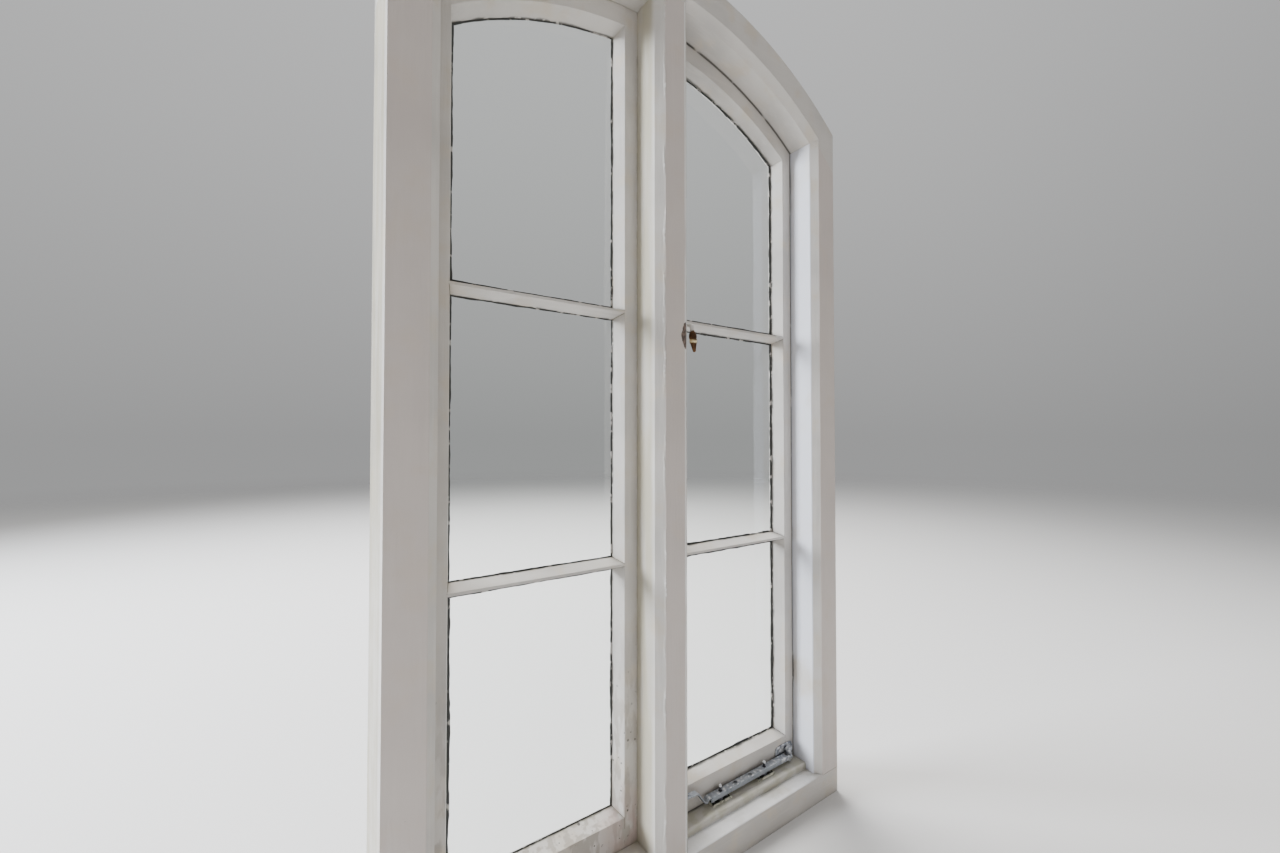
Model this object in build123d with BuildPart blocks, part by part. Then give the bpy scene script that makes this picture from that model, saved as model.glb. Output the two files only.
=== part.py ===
"""Two-light timber casement window with a segmental head.

A painted hardwood frame (sill, two jambs, a mullion and an arched head) holds two sashes of
three panes each. The left sash is bedded shut. The right sash is hung on the right jamb and
opens outwards, with a peg stay on its bottom rail and a lever fastener on its meeting stile.

X runs to the right as seen from the room, Y runs outwards, Z runs up. Millimetres.
The origin is at the bottom centre of the window's box.
"""

import os
from math import atan2, cos, degrees, radians, sin, sqrt

from build123d import *

os.makedirs("parts", exist_ok=True)

# Frame: heights are above the sill's underside, depths are behind the room-side face
MULLION_W = 82.5
LIGHT_W = 408.0
JAMB_W = 76.0
FRAME_CHAMFER = 16.0
RECESS = 76.0
STOP_LAP = 10.0
SASH_GAP = 2.5

# Sill: a flat ledge, a raised stop for the sashes and a weathered nose outside
SILL_TOP = 62.0
LEDGE_D = 38.0
STOP_H = 16.0
STOP_ROUND = 4.0
LEDGE_ROUND = 3.0
NOSE_D = 48.0
NOSE_ROUND = 8.0
WEATHERING_DEG = 8.0
DRIP_W = 8.0
DRIP_D = 6.0
DRIP_FROM_NOSE = 14.0

# Head: every arc of the window has one centre
ARC_CENTRE_H = 946.0
SOFFIT_R = 778.0
HEAD_T = 76.0

# Sashes
SASH_T = 48.0
STILE_FACE = 31.0
BOTTOM_RAIL_FACE = 59.0
HEAD_RAIL_FACE = 39.0
SPLAY_W = 10.0
CLOSING_BEVEL = 1.5
GLASS_DEPTH = 34.0
GLASS_T = 3.0
GLAZING_REBATE = 8.0
GLASS_PLAY = 1.5
BAR_NOSE = 5.0
BAR_H = (577.5, 1091.0)
PUTTY_SETBACK = 0.5
PUTTY_EDGE = 0.8

# Butt hinges
LOWER_HINGE_H = 250.0
UPPER_HINGE_ABOVE_CENTRE = 384.0
HINGE_L = 76.0
LEAF_W = 32.0
LEAF_T = 2.2
KNUCKLE_R = 4.5
KNUCKLES = 5
KNUCKLE_GAP = 0.3
HINGE_PIN_R = 2.0
PIN_PLAY = 0.05
HINGE_CLEAR = 0.6
PIN_HEAD_R = 3.6
PIN_HEAD_H = 1.6

# Countersunk screws
SCREW_HEAD_R = 3.6
SCREW_SHANK_R = 1.8
SCREW_HEAD_H = 2.0
SCREW_SLOT_W = 0.9
SCREW_SLOT_D = 0.8
HINGE_SCREW_L = 22.0
HARDWARE_SCREW_L = 16.0

# Peg stay: a pressed channel arm on a swivel, with two pegs on the sill's stop
STAY_DEPTH = 63.5
PIVOT_FROM_JAMB = 34.25
PIVOT_H = 33.0
FIRST_HOLE = 91.0
HOLE_PITCH = 48.7
HOLES = 4
HOLE_R = 5.0
ARM_W = 16.5
ARM_H = 11.0
ARM_T = 2.0
ARM_END_PAST_HOLE = 34.0
WEB_START = 13.0
TAIL_W = 14.0
TAIL_T = 2.6
TAIL_RUN = (5.0, 8.0, 23.0, 44.0)
TAIL_RISE = (-8.0, 32.0, 3.0)
TAIL_BENDS = (6.0, 5.0, 9.0)
BARREL_R = 5.6
BARREL_UP = 12.0
BARREL_DOWN = 8.0
SWIVEL_R = 2.2
TRUNNION_R = 2.4
RIVET_HEAD_R = 3.6
RIVET_HEAD_H = 0.7
LUG_R = 6.0
LUG_T = 3.0
LUG_GAP = 0.3
BRACKET_T = 2.0
BRACKET_W = 38.0
BRACKET_H = 29.0
BRACKET_LEFT = 10.0
BRACKET_ROUND = 4.0
PEG_PLATE = (58.0, 18.0, 4.0)
PEG_PLATE_ROUND = 3.0
PEG_PLATE_CHAMFER = 1.0
PEG_BOSS_R = 5.8
PEG_NECK_R = 3.0
PEG_NECK_H = 9.0
PEG_BALL_R = 3.6
PEG_SCREW_PITCH = 40.0

# Lever fastener and its mortice plate
FASTENER_FROM_MULLION = 19.0
FASTENER_BELOW_BAR = 6.0
PLATE_W = 20.0
PLATE_L = 62.0
PLATE_T = 3.0
PLATE_ROUND = 5.0
PLATE_SCREW_PITCH = 44.0
BOSS_R = 6.5
BOSS_H = 6.0
HUB_R = 8.5
HUB_T = 7.0
SPINDLE_R = 3.0
SPINDLE_HEAD_R = 4.6
SPINDLE_HEAD_H = 1.4
NECK_REACH = (1.5, 39.5, 2.0)
NECK_DROP = (12.0, 3.0, 13.0)
NECK_BENDS = (6.0, 9.0)
NECK_W = 10.0
NECK_T = 7.0
GRIP_BULB = (8.3, 18.0)
GRIP_COLLAR = (8.0, 7.5)
GRIP_TIP = (7.0, 20.0)
GRIP_END_R = 3.4
NOSE_W = 6.0
NOSE_H = 9.0
NOSE_L = 28.0
MORTICE_CLEAR = 1.0
MORTICE_PLATE_T = 1.5
MORTICE_PLATE_W = 16.0
MORTICE_PLATE_EDGE = 11.0

# Places worked out from the sizes above
REBATE = STOP_LAP + SASH_GAP
FRAME_D = RECESS + SASH_T
FRONT = -(FRAME_D + NOSE_D) / 2
STOP_TOP = SILL_TOP + STOP_H
HINGE_H = (LOWER_HINGE_H, ARC_CENTRE_H + UPPER_HINGE_ABOVE_CENTRE)
ARC_Z = SILL_TOP + ARC_CENTRE_H
LIGHT_IN = MULLION_W / 2
LIGHT_OUT = LIGHT_IN + LIGHT_W
FRAME_HALF = LIGHT_OUT + JAMB_W
SASH_FOOT = STOP_TOP - STOP_LAP
SASH_R = SOFFIT_R + STOP_LAP
FACE_R = SOFFIT_R - HEAD_RAIL_FACE
FACE_IN = LIGHT_IN + STILE_FACE
FACE_OUT = LIGHT_OUT - STILE_FACE
FACE_FOOT = STOP_TOP + BOTTOM_RAIL_FACE
SPLAY_DEG = degrees(atan2(SPLAY_W, GLASS_DEPTH))
REBATE_INSET = SPLAY_W - GLAZING_REBATE
OVERCUT = 1.0


def depth(distance):
    """Y of a point at a distance behind the frame's room-side face."""
    return FRONT + distance


def elevation(distance):
    """Upright plane at a depth, seen from the room, whose normal points into the room."""
    return Plane.XZ.offset(-depth(distance))


def arc_z(x, radius):
    """Height of an arc about the window's centre at a place across the window."""
    return ARC_Z + sqrt(radius**2 - x**2)


def save(part, name):
    """Label a finished piece and write it."""
    part.label = name
    export_step(part, f"parts/{name}.step")


def arched_outline(x_in, x_out, foot, radius, mode=Mode.ADD):
    """Draw a light's outline: straight sides and foot under an arc of the window."""
    middle = (x_in + x_out) / 2
    with BuildLine() as outline:
        Polyline(
            (x_in, arc_z(x_in, radius)),
            (x_in, foot),
            (x_out, foot),
            (x_out, arc_z(x_out, radius)),
        )
        ThreePointArc(
            (x_in, arc_z(x_in, radius)),
            (middle, arc_z(middle, radius)),
            (x_out, arc_z(x_out, radius)),
        )
    make_face(outline.edges(), mode=mode)


def arc_band(x_in, x_out, inner, outer):
    """Draw a band between two arcs of the window, cut off upright at both ends."""
    arched_outline(x_in, x_out, ARC_Z, outer)
    arched_outline(x_in, x_out, ARC_Z, inner, mode=Mode.SUBTRACT)


def pane_outline(side, pane, inset):
    """Draw a pane's outline, inset from the lines where its splays leave the sash's face."""
    x_in = side * (FACE_IN + inset)
    x_out = side * (FACE_OUT - inset)
    bar_lines = [SILL_TOP + height for height in BAR_H]
    foot = FACE_FOOT if pane == 0 else bar_lines[pane - 1] + BAR_NOSE / 2
    if pane == len(BAR_H):
        arched_outline(x_in, x_out, foot + inset, FACE_R - inset)
    else:
        head = bar_lines[pane] - BAR_NOSE / 2
        with Locations(((x_in + x_out) / 2, (foot + head) / 2)):
            Rectangle(abs(x_out - x_in), head - foot - 2 * inset)


def stile_outline(side, face, glass, edge):
    """Draw a stile, with its splay mitred into the rails and bars that meet it."""
    nose = BAR_NOSE / 2
    points = [(face, SASH_FOOT), (face, FACE_FOOT), (glass, FACE_FOOT + SPLAY_W)]
    for height in BAR_H:
        middle = SILL_TOP + height
        points.append((glass, middle - nose - SPLAY_W))
        points.append((face, middle - nose))
        points.append((face, middle + nose))
        points.append((glass, middle + nose + SPLAY_W))
    points.append((glass, arc_z(glass, FACE_R - SPLAY_W)))
    points.append((face, arc_z(face, FACE_R)))
    points.append((face, arc_z(face, SASH_R)))
    half_way = (face + edge) / 2
    crown = [(x, arc_z(x, SASH_R)) for x in (face, half_way, edge)]
    with BuildLine() as outline:
        Polyline(*[(side * x, z) for x, z in points])
        ThreePointArc(*[(side * x, z) for x, z in crown])
        Polyline(
            (side * edge, arc_z(edge, SASH_R)),
            (side * edge, SASH_FOOT),
            (side * face, SASH_FOOT),
        )
    make_face(outline.edges())


def splay_strip(side, glass_in, glass_out):
    """The face between the head rail's two lower arcs, mitred at its ends."""
    arcs = []
    for x_in, x_out, radius in ((FACE_IN, FACE_OUT, FACE_R), (glass_in, glass_out, FACE_R - SPLAY_W)):
        arcs.append([(side * x, arc_z(x, radius)) for x in (x_in, (x_in + x_out) / 2, x_out)])
    upper, lower = arcs
    with BuildSketch() as strip:
        with BuildLine():
            ThreePointArc(*upper)
            Line(upper[2], lower[2])
            ThreePointArc(*lower)
            Line(lower[0], upper[0])
        make_face()
    return strip.sketch


def straight_member(side, foot, head, splays):
    """Draw a rail or bar between the stiles, whose splays run out to mitres at its ends."""
    with Locations((side * (FACE_IN + FACE_OUT) / 2, (foot + head) / 2)):
        Rectangle(FACE_OUT - FACE_IN, head - foot)
    for edge, rise in splays:
        with BuildLine() as strip:
            Polyline(
                (side * FACE_IN, edge),
                (side * (FACE_IN + SPLAY_W), edge + rise),
                (side * (FACE_OUT - SPLAY_W), edge + rise),
                (side * FACE_OUT, edge),
                close=True,
            )
        make_face(strip.edges())


def screw(length, slotted=True):
    """A countersunk screw that points down, with its head flush at the origin."""
    with BuildPart() as body:
        with BuildSketch(Plane.XZ):
            with BuildLine():
                Polyline(
                    (0, 0),
                    (SCREW_HEAD_R, 0),
                    (SCREW_SHANK_R, -SCREW_HEAD_H),
                    (SCREW_SHANK_R, SCREW_SHANK_R - length),
                    (0, -length),
                    close=True,
                )
            make_face()
        revolve(axis=Axis.Z)
        if slotted:
            with BuildSketch():
                Rectangle(2 * SCREW_HEAD_R, SCREW_SLOT_W)
            extrude(amount=-SCREW_SLOT_D, mode=Mode.SUBTRACT)
    return body.part


def screw_set(places, length, slotted=True):
    """A screw at each place."""
    with BuildPart() as screws:
        with Locations(*places):
            add(screw(length, slotted))
    return screws.part


PANES = range(len(BAR_H) + 1)
SIDES = (("left", -1), ("right", 1))

# The sill runs the full width, with a drip groove under its nose
floor_z = STOP_TOP - REBATE
nose_y = depth(FRAME_D + NOSE_D)
nose_fall = (FRAME_D + NOSE_D - RECESS) * sin(radians(WEATHERING_DEG))
with BuildPart() as sill:
    with BuildSketch(Plane.YZ.offset(-FRAME_HALF)):
        with BuildLine():
            Polyline(
                (depth(0), 0),
                (depth(0), SILL_TOP),
                (depth(LEDGE_D), SILL_TOP),
                (depth(LEDGE_D), STOP_TOP),
                (depth(RECESS), STOP_TOP),
                (depth(RECESS), floor_z),
                (nose_y, floor_z - nose_fall),
                (nose_y, 0),
                close=True,
            )
        make_face()
        with Locations((nose_y - DRIP_FROM_NOSE, 0)):
            Rectangle(DRIP_W, 2 * DRIP_D, mode=Mode.SUBTRACT)
    extrude(amount=2 * FRAME_HALF)
    long_edges = sill.edges().filter_by(Axis.X)
    fillet(long_edges.group_by(Axis.Z)[-1].sort_by(Axis.Y)[0], STOP_ROUND)
    fillet(long_edges.group_by(Axis.Y)[0].sort_by(Axis.Z)[-1], LEDGE_ROUND)
    fillet(long_edges.group_by(Axis.Y)[-1].sort_by(Axis.Z)[-1], NOSE_ROUND)

# What a light takes out of the frame: its daylight, the chamfer round it and the sash's rebate
light_voids = []
for side_name, side in SIDES:
    with BuildPart() as light_void:
        with BuildSketch(elevation(RECESS)):
            arched_outline(side * LIGHT_IN, side * LIGHT_OUT, 0, SOFFIT_R)
        extrude(amount=RECESS)
        with BuildSketch(elevation(FRAME_CHAMFER)):
            arched_outline(side * LIGHT_IN, side * LIGHT_OUT, -FRAME_HALF, SOFFIT_R)
        extrude(amount=FRAME_CHAMFER + OVERCUT, taper=-45)
        with BuildSketch(elevation(FRAME_D + OVERCUT)):
            arched_outline(
                side * (LIGHT_IN - REBATE), side * (LIGHT_OUT + REBATE), 0, SOFFIT_R + REBATE
            )
        extrude(amount=SASH_T + OVERCUT)
    light_voids.append(light_void.part)

# The head is one curved member that sits on the jambs and the mullion
with BuildPart() as head:
    with BuildSketch(elevation(FRAME_D)):
        arc_band(-FRAME_HALF, FRAME_HALF, SOFFIT_R, SOFFIT_R + HEAD_T)
    extrude(amount=FRAME_D)
    add(light_voids, mode=Mode.SUBTRACT)
save(head.part, "head")

# Hinges: one leaf let into the jamb's rebate, one into the sash's edge, on a loose pin
jamb_face_x = LIGHT_OUT + REBATE
sash_edge_x = LIGHT_OUT + STOP_LAP
hinge_x = (jamb_face_x + sash_edge_x) / 2
hinge_y = depth(FRAME_D + HINGE_CLEAR + KNUCKLE_R)
leaf_y = depth(FRAME_D - LEAF_W / 2)
knuckle_l = HINGE_L / KNUCKLES
leaf_kinds = (("jamb_leaf", jamb_face_x, 1), ("sash_leaf", sash_edge_x, -1))
hinge_beds = {}
for leaf_name, wood_x, inward in leaf_kinds:
    places = []
    for height in HINGE_H:
        for step in (-1, 0, 1):
            spot = (wood_x, leaf_y + abs(step) * LEAF_W / 5, SILL_TOP + height + step * HINGE_L / 3)
            places.append(Plane(origin=spot, x_dir=(0, 0, 1), z_dir=(-inward, 0, 0)))
    pilot = screw_set(places, HINGE_SCREW_L, slotted=False)
    leaves = []
    for hinge_name, height in zip(("lower", "upper"), HINGE_H):
        foot = SILL_TOP + height - HINGE_L / 2
        with BuildPart() as leaf:
            with BuildSketch(Plane.XY.offset(foot)):
                with Locations((wood_x + inward * LEAF_T / 2, leaf_y)):
                    Rectangle(LEAF_T, LEAF_W)
            extrude(amount=HINGE_L)
            for knuckle in range(0 if inward > 0 else 1, KNUCKLES, 2):
                with BuildSketch(Plane.XY.offset(foot + knuckle * knuckle_l + KNUCKLE_GAP / 2)):
                    with Locations((hinge_x, hinge_y)):
                        Circle(KNUCKLE_R)
                    with Locations((wood_x + inward * LEAF_T / 2, (depth(FRAME_D) + hinge_y) / 2)):
                        Rectangle(LEAF_T, hinge_y - depth(FRAME_D))
                extrude(amount=knuckle_l - KNUCKLE_GAP)
            with BuildSketch(Plane.XY.offset(foot)):
                with Locations((hinge_x, hinge_y)):
                    Circle(HINGE_PIN_R + PIN_PLAY)
            extrude(amount=HINGE_L, mode=Mode.SUBTRACT)
            add(pilot, mode=Mode.SUBTRACT)
        leaves.append(leaf.part)
        save(leaf.part, f"hinge_{hinge_name}_{leaf_name}")
    hinge_beds[leaf_name] = [pilot, *leaves]
    save(screw_set(places, HINGE_SCREW_L), f"hinge_{leaf_name}_screws")

for hinge_name, height in zip(("lower", "upper"), HINGE_H):
    pin_foot = SILL_TOP + height - HINGE_L / 2 + KNUCKLE_GAP / 2
    pin_l = HINGE_L - KNUCKLE_GAP
    with BuildPart() as hinge_pin:
        with BuildSketch(Plane.XY.offset(pin_foot)):
            with Locations((hinge_x, hinge_y)):
                Circle(HINGE_PIN_R)
        extrude(amount=pin_l)
        for start, way in ((pin_foot, -1), (pin_foot + pin_l, 1)):
            with BuildSketch(Plane.XY.offset(start)):
                with Locations((hinge_x, hinge_y)):
                    Circle(PIN_HEAD_R)
            extrude(amount=way * PIN_HEAD_H)
    save(hinge_pin.part, f"hinge_{hinge_name}_pin")

# Stay: the bracket on the bottom rail carries an upright pin
pivot_x = LIGHT_OUT - PIVOT_FROM_JAMB
pivot_y = depth(STAY_DEPTH)
pivot_z = SILL_TOP + PIVOT_H
low_lug_z = pivot_z - BARREL_DOWN - LUG_GAP - LUG_T
high_lug_z = pivot_z + BARREL_UP + LUG_GAP
bracket_x = pivot_x - BRACKET_LEFT + BRACKET_W / 2
bracket_z = low_lug_z + BRACKET_H / 2
bracket_places = []
for way in (-1, 1):
    spot = (
        bracket_x + 0.3 * BRACKET_W,
        depth(RECESS - BRACKET_T),
        bracket_z + way * 0.26 * BRACKET_H,
    )
    bracket_places.append(Plane(origin=spot, x_dir=(1, 0, 0), z_dir=(0, -1, 0)))
bracket_pilot = screw_set(bracket_places, HARDWARE_SCREW_L, slotted=False)
with BuildPart() as stay_bracket:
    with BuildSketch(elevation(RECESS)):
        with Locations((bracket_x, bracket_z)):
            RectangleRounded(BRACKET_W, BRACKET_H, BRACKET_ROUND)
    extrude(amount=BRACKET_T)
    for lug_z in (low_lug_z, high_lug_z):
        with BuildSketch(Plane.XY.offset(lug_z)):
            with Locations((pivot_x, pivot_y)):
                Circle(LUG_R)
            with Locations((pivot_x, (pivot_y + depth(RECESS - BRACKET_T)) / 2)):
                Rectangle(2 * LUG_R, depth(RECESS - BRACKET_T) - pivot_y)
            with Locations((pivot_x, pivot_y)):
                Circle(SWIVEL_R + PIN_PLAY, mode=Mode.SUBTRACT)
        extrude(amount=LUG_T)
    add(bracket_pilot, mode=Mode.SUBTRACT)
save(stay_bracket.part, "stay_bracket")
save(screw_set(bracket_places, HARDWARE_SCREW_L), "stay_bracket_screws")

with BuildPart() as stay_swivel_pin:
    with BuildSketch(Plane.XY.offset(low_lug_z)):
        with Locations((pivot_x, pivot_y)):
            Circle(SWIVEL_R)
    extrude(amount=high_lug_z + LUG_T - low_lug_z)
    for start, way in ((low_lug_z, -1), (high_lug_z + LUG_T, 1)):
        with BuildSketch(Plane.XY.offset(start)):
            with Locations((pivot_x, pivot_y)):
                Circle(RIVET_HEAD_R)
        extrude(amount=way * 2 * RIVET_HEAD_H)
save(stay_swivel_pin.part, "stay_swivel_pin")

# The swivel turns on that pin, and its two trunnions carry the arm's ears
with BuildPart() as stay_swivel:
    with BuildSketch(Plane.XY.offset(pivot_z - BARREL_DOWN)):
        with Locations((pivot_x, pivot_y)):
            Circle(BARREL_R)
    extrude(amount=BARREL_DOWN + BARREL_UP)
    with BuildSketch(elevation(STAY_DEPTH)):
        with Locations((pivot_x, pivot_z)):
            Circle(TRUNNION_R)
    extrude(amount=ARM_W / 2 + RIVET_HEAD_H, both=True)
    for way in (-1, 1):
        with BuildSketch(elevation(STAY_DEPTH + way * (ARM_W / 2 + PIN_PLAY))):
            with Locations((pivot_x, pivot_z)):
                Circle(RIVET_HEAD_R)
        extrude(amount=-way * RIVET_HEAD_H)
    with BuildSketch(Plane.XY.offset(pivot_z - BARREL_DOWN)):
        with Locations((pivot_x, pivot_y)):
            Circle(SWIVEL_R + PIN_PLAY)
    extrude(amount=BARREL_DOWN + BARREL_UP, mode=Mode.SUBTRACT)
save(stay_swivel.part, "stay_swivel")

# The arm is a channel open below, with peg holes in its web and a gooseneck tail
hole_xs = [pivot_x - FIRST_HOLE - step * HOLE_PITCH for step in range(HOLES)]
arm_end_x = hole_xs[-1] - ARM_END_PAST_HOLE
web_top = pivot_z + ARM_H / 2
web_under = web_top - ARM_T
arm_l = pivot_x - arm_end_x
tail_z = web_top - TAIL_T / 2
tail_path = [(arm_end_x + TAIL_T, tail_z)]
x, z = arm_end_x, tail_z
for run, rise in zip(TAIL_RUN, (0, *TAIL_RISE)):
    x, z = x - run, z + rise
    tail_path.append((x, z))
with BuildPart() as stay_arm:
    with BuildSketch(elevation(STAY_DEPTH)):
        with Locations((arm_end_x + arm_l / 2, pivot_z)):
            Rectangle(arm_l, ARM_H)
        with Locations((pivot_x, pivot_z)):
            Circle(ARM_H / 2)
    extrude(amount=ARM_W / 2, both=True)
    top_edges = stay_arm.edges().filter_by(Axis.X).group_by(Axis.Z)[-1]
    fillet(top_edges, ARM_T * 0.9)
    inner_l = arm_l + ARM_H
    with BuildSketch(Plane.YZ.offset(arm_end_x)):
        with Locations((pivot_y, web_under - ARM_H / 2)):
            Rectangle(ARM_W - 2 * ARM_T, ARM_H)
    extrude(amount=inner_l, mode=Mode.SUBTRACT)
    with BuildSketch(Plane.YZ.offset(pivot_x - WEB_START)):
        with Locations((pivot_y, pivot_z)):
            Rectangle(ARM_W - 2 * ARM_T, 2 * ARM_H)
    extrude(amount=inner_l, mode=Mode.SUBTRACT)
    with BuildSketch(Plane.XY.offset(web_top)):
        with Locations(*[(hole_x, pivot_y) for hole_x in hole_xs]):
            Circle(HOLE_R)
    extrude(amount=-ARM_T, mode=Mode.SUBTRACT)
    with BuildSketch(elevation(STAY_DEPTH)):
        with Locations((pivot_x, pivot_z)):
            Circle(TRUNNION_R + PIN_PLAY)
    extrude(amount=ARM_W, both=True, mode=Mode.SUBTRACT)
    with BuildLine(elevation(STAY_DEPTH)) as tail_line:
        FilletPolyline(*tail_path, radius=TAIL_BENDS)
    with BuildSketch(Plane.YZ.offset(tail_path[0][0])):
        with Locations((pivot_y, tail_z)):
            Rectangle(TAIL_W, TAIL_T)
    sweep(path=tail_line.wires()[0])
save(stay_arm.part, "stay_arm")

# The two pegs stand on plates on the sill's stop, and the arm rests on their shoulders
plate_l, plate_w, plate_t = PEG_PLATE
peg_top = STOP_TOP + plate_t
peg_beds = []
for peg_name, peg_x in (("far", hole_xs[-1]), ("near", hole_xs[0])):
    places = []
    for way in (-1, 1):
        places.append(Plane(origin=(peg_x + way * PEG_SCREW_PITCH / 2, pivot_y, peg_top)))
    pilot = screw_set(places, HARDWARE_SCREW_L, slotted=False)
    with BuildPart() as peg_plate:
        with BuildSketch(Plane.XY.offset(STOP_TOP)):
            with Locations((peg_x, pivot_y)):
                RectangleRounded(plate_l, plate_w, PEG_PLATE_ROUND)
        extrude(amount=plate_t)
        chamfer(peg_plate.faces().sort_by(Axis.Z)[-1].edges(), PEG_PLATE_CHAMFER)
        with Locations((peg_x, pivot_y, peg_top)):
            Hole(PEG_NECK_R, depth=plate_t)
        add(pilot, mode=Mode.SUBTRACT)
    save(peg_plate.part, f"stay_peg_plate_{peg_name}")
    save(screw_set(places, HARDWARE_SCREW_L), f"stay_peg_screws_{peg_name}")
    peg_beds.append(pilot)
    with BuildPart() as peg:
        with BuildSketch(Plane.XZ.offset(-pivot_y)):
            with BuildLine():
                ball_z = web_under + PEG_NECK_H + PEG_BALL_R
                ball_foot = ball_z - sqrt(PEG_BALL_R**2 - PEG_NECK_R**2)
                Polyline(
                    (peg_x, ball_z + PEG_BALL_R),
                    (peg_x, STOP_TOP),
                    (peg_x + PEG_NECK_R, STOP_TOP),
                    (peg_x + PEG_NECK_R, peg_top),
                    (peg_x + PEG_BOSS_R, peg_top),
                    (peg_x + PEG_BOSS_R, web_under),
                    (peg_x + PEG_NECK_R, web_under),
                    (peg_x + PEG_NECK_R, ball_foot),
                )
                ThreePointArc(
                    (peg_x + PEG_NECK_R, ball_foot),
                    (peg_x + PEG_BALL_R, ball_z),
                    (peg_x, ball_z + PEG_BALL_R),
                )
            make_face()
        revolve(axis=Axis((peg_x, pivot_y, 0), (0, 0, 1)))
    save(peg.part, f"stay_peg_{peg_name}")

with BuildPart() as drilled_sill:
    add(sill.part)
    add(peg_beds, mode=Mode.SUBTRACT)
save(drilled_sill.part, "sill")

# Fastener: a plate with a boss on the meeting stile, a spindle and a lever with a nose
lever_x = LIGHT_IN + FASTENER_FROM_MULLION
lever_z = SILL_TOP + BAR_H[-1] - FASTENER_BELOW_BAR
hub_back = RECESS - PLATE_T - BOSS_H
hub_front = hub_back - HUB_T
hub_mid = (hub_back + hub_front) / 2
fastener_places = []
for way in (-1, 1):
    spot = (lever_x, depth(RECESS - PLATE_T), lever_z + way * PLATE_SCREW_PITCH / 2)
    fastener_places.append(Plane(origin=spot, x_dir=(1, 0, 0), z_dir=(0, -1, 0)))
fastener_pilot = screw_set(fastener_places, HARDWARE_SCREW_L, slotted=False)
with BuildPart() as fastener_plate:
    with BuildSketch(elevation(RECESS)):
        with Locations((lever_x, lever_z)):
            RectangleRounded(PLATE_W, PLATE_L, PLATE_ROUND)
    extrude(amount=PLATE_T)
    chamfer(fastener_plate.faces().sort_by(Axis.Y)[0].edges(), PLATE_T / 4)
    with BuildSketch(elevation(RECESS)):
        with Locations((lever_x, lever_z)):
            Circle(BOSS_R)
    extrude(amount=PLATE_T + BOSS_H)
    with BuildSketch(elevation(RECESS)):
        with Locations((lever_x, lever_z)):
            Circle(SPINDLE_R)
    extrude(amount=PLATE_T + BOSS_H, mode=Mode.SUBTRACT)
    add(fastener_pilot, mode=Mode.SUBTRACT)
save(fastener_plate.part, "fastener_plate")
save(screw_set(fastener_places, HARDWARE_SCREW_L), "fastener_plate_screws")

with BuildPart() as fastener_spindle:
    with BuildSketch(elevation(RECESS)):
        with Locations((lever_x, lever_z)):
            Circle(SPINDLE_R)
    extrude(amount=RECESS - hub_front + PIN_PLAY)
    with BuildSketch(elevation(hub_front - PIN_PLAY)):
        with Locations((lever_x, lever_z)):
            Circle(SPINDLE_HEAD_R)
    extrude(amount=SPINDLE_HEAD_H)
save(fastener_spindle.part, "fastener_spindle")

# The lever's neck reaches into the room, and its turned grip hangs along the neck's last run
side_plane = Plane(origin=(lever_x, depth(hub_mid), lever_z), x_dir=(0, -1, 0), z_dir=(-1, 0, 0))
neck_path = [(0, 0)]
for reach, drop in zip(NECK_REACH, NECK_DROP):
    neck_path.append((neck_path[-1][0] + reach, neck_path[-1][1] - drop))
bulb_r, bulb_l = GRIP_BULB
collar_r, collar_l = GRIP_COLLAR
tip_r, tip_l = GRIP_TIP
grip_l = bulb_l + collar_l + tip_l
collar_ease = collar_r - tip_r
with BuildPart() as grip:
    with BuildSketch(Plane.XZ):
        with BuildLine():
            ThreePointArc((NECK_T / 2, 0), (bulb_r, -0.6 * bulb_l), (tip_r, -bulb_l))
            Polyline(
                (tip_r, -bulb_l),
                (collar_r, -collar_ease - bulb_l),
                (collar_r, collar_ease - bulb_l - collar_l),
                (tip_r, -bulb_l - collar_l),
                (GRIP_END_R, GRIP_END_R - grip_l),
            )
            RadiusArc((GRIP_END_R, GRIP_END_R - grip_l), (0, -grip_l), GRIP_END_R)
            Polyline((0, -grip_l), (0, 0), (NECK_T / 2, 0))
        make_face()
    revolve(axis=Axis.Z)
with BuildPart() as fastener_lever:
    with BuildSketch(elevation(hub_back)):
        with Locations((lever_x, lever_z)):
            Circle(HUB_R)
    extrude(amount=HUB_T)
    with BuildSketch(elevation(hub_mid)):
        with Locations((lever_x - NOSE_L / 2, lever_z)):
            Rectangle(NOSE_L, NOSE_H)
    extrude(amount=NOSE_W / 2, both=True)
    with BuildLine(side_plane) as neck_line:
        FilletPolyline(*neck_path, radius=NECK_BENDS)
    neck_wire = neck_line.wires()[0]
    with BuildSketch(Plane(origin=neck_wire @ 0, z_dir=neck_wire % 0, x_dir=side_plane.z_dir)):
        Ellipse(NECK_W / 2, NECK_T / 2)
    sweep(path=neck_wire)
    with Locations(Plane(origin=neck_wire @ 1, z_dir=-(neck_wire % 1), x_dir=side_plane.z_dir)):
        add(grip.part)
    with BuildSketch(elevation(hub_front - HUB_T)):
        with Locations((lever_x, lever_z)):
            Circle(SPINDLE_HEAD_R + MORTICE_CLEAR)
    extrude(amount=-HUB_T, mode=Mode.SUBTRACT)
    with BuildSketch(elevation(hub_back)):
        with Locations((lever_x, lever_z)):
            Circle(SPINDLE_R + PIN_PLAY)
    extrude(amount=HUB_T, mode=Mode.SUBTRACT)
save(fastener_lever.part, "fastener_lever")

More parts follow.
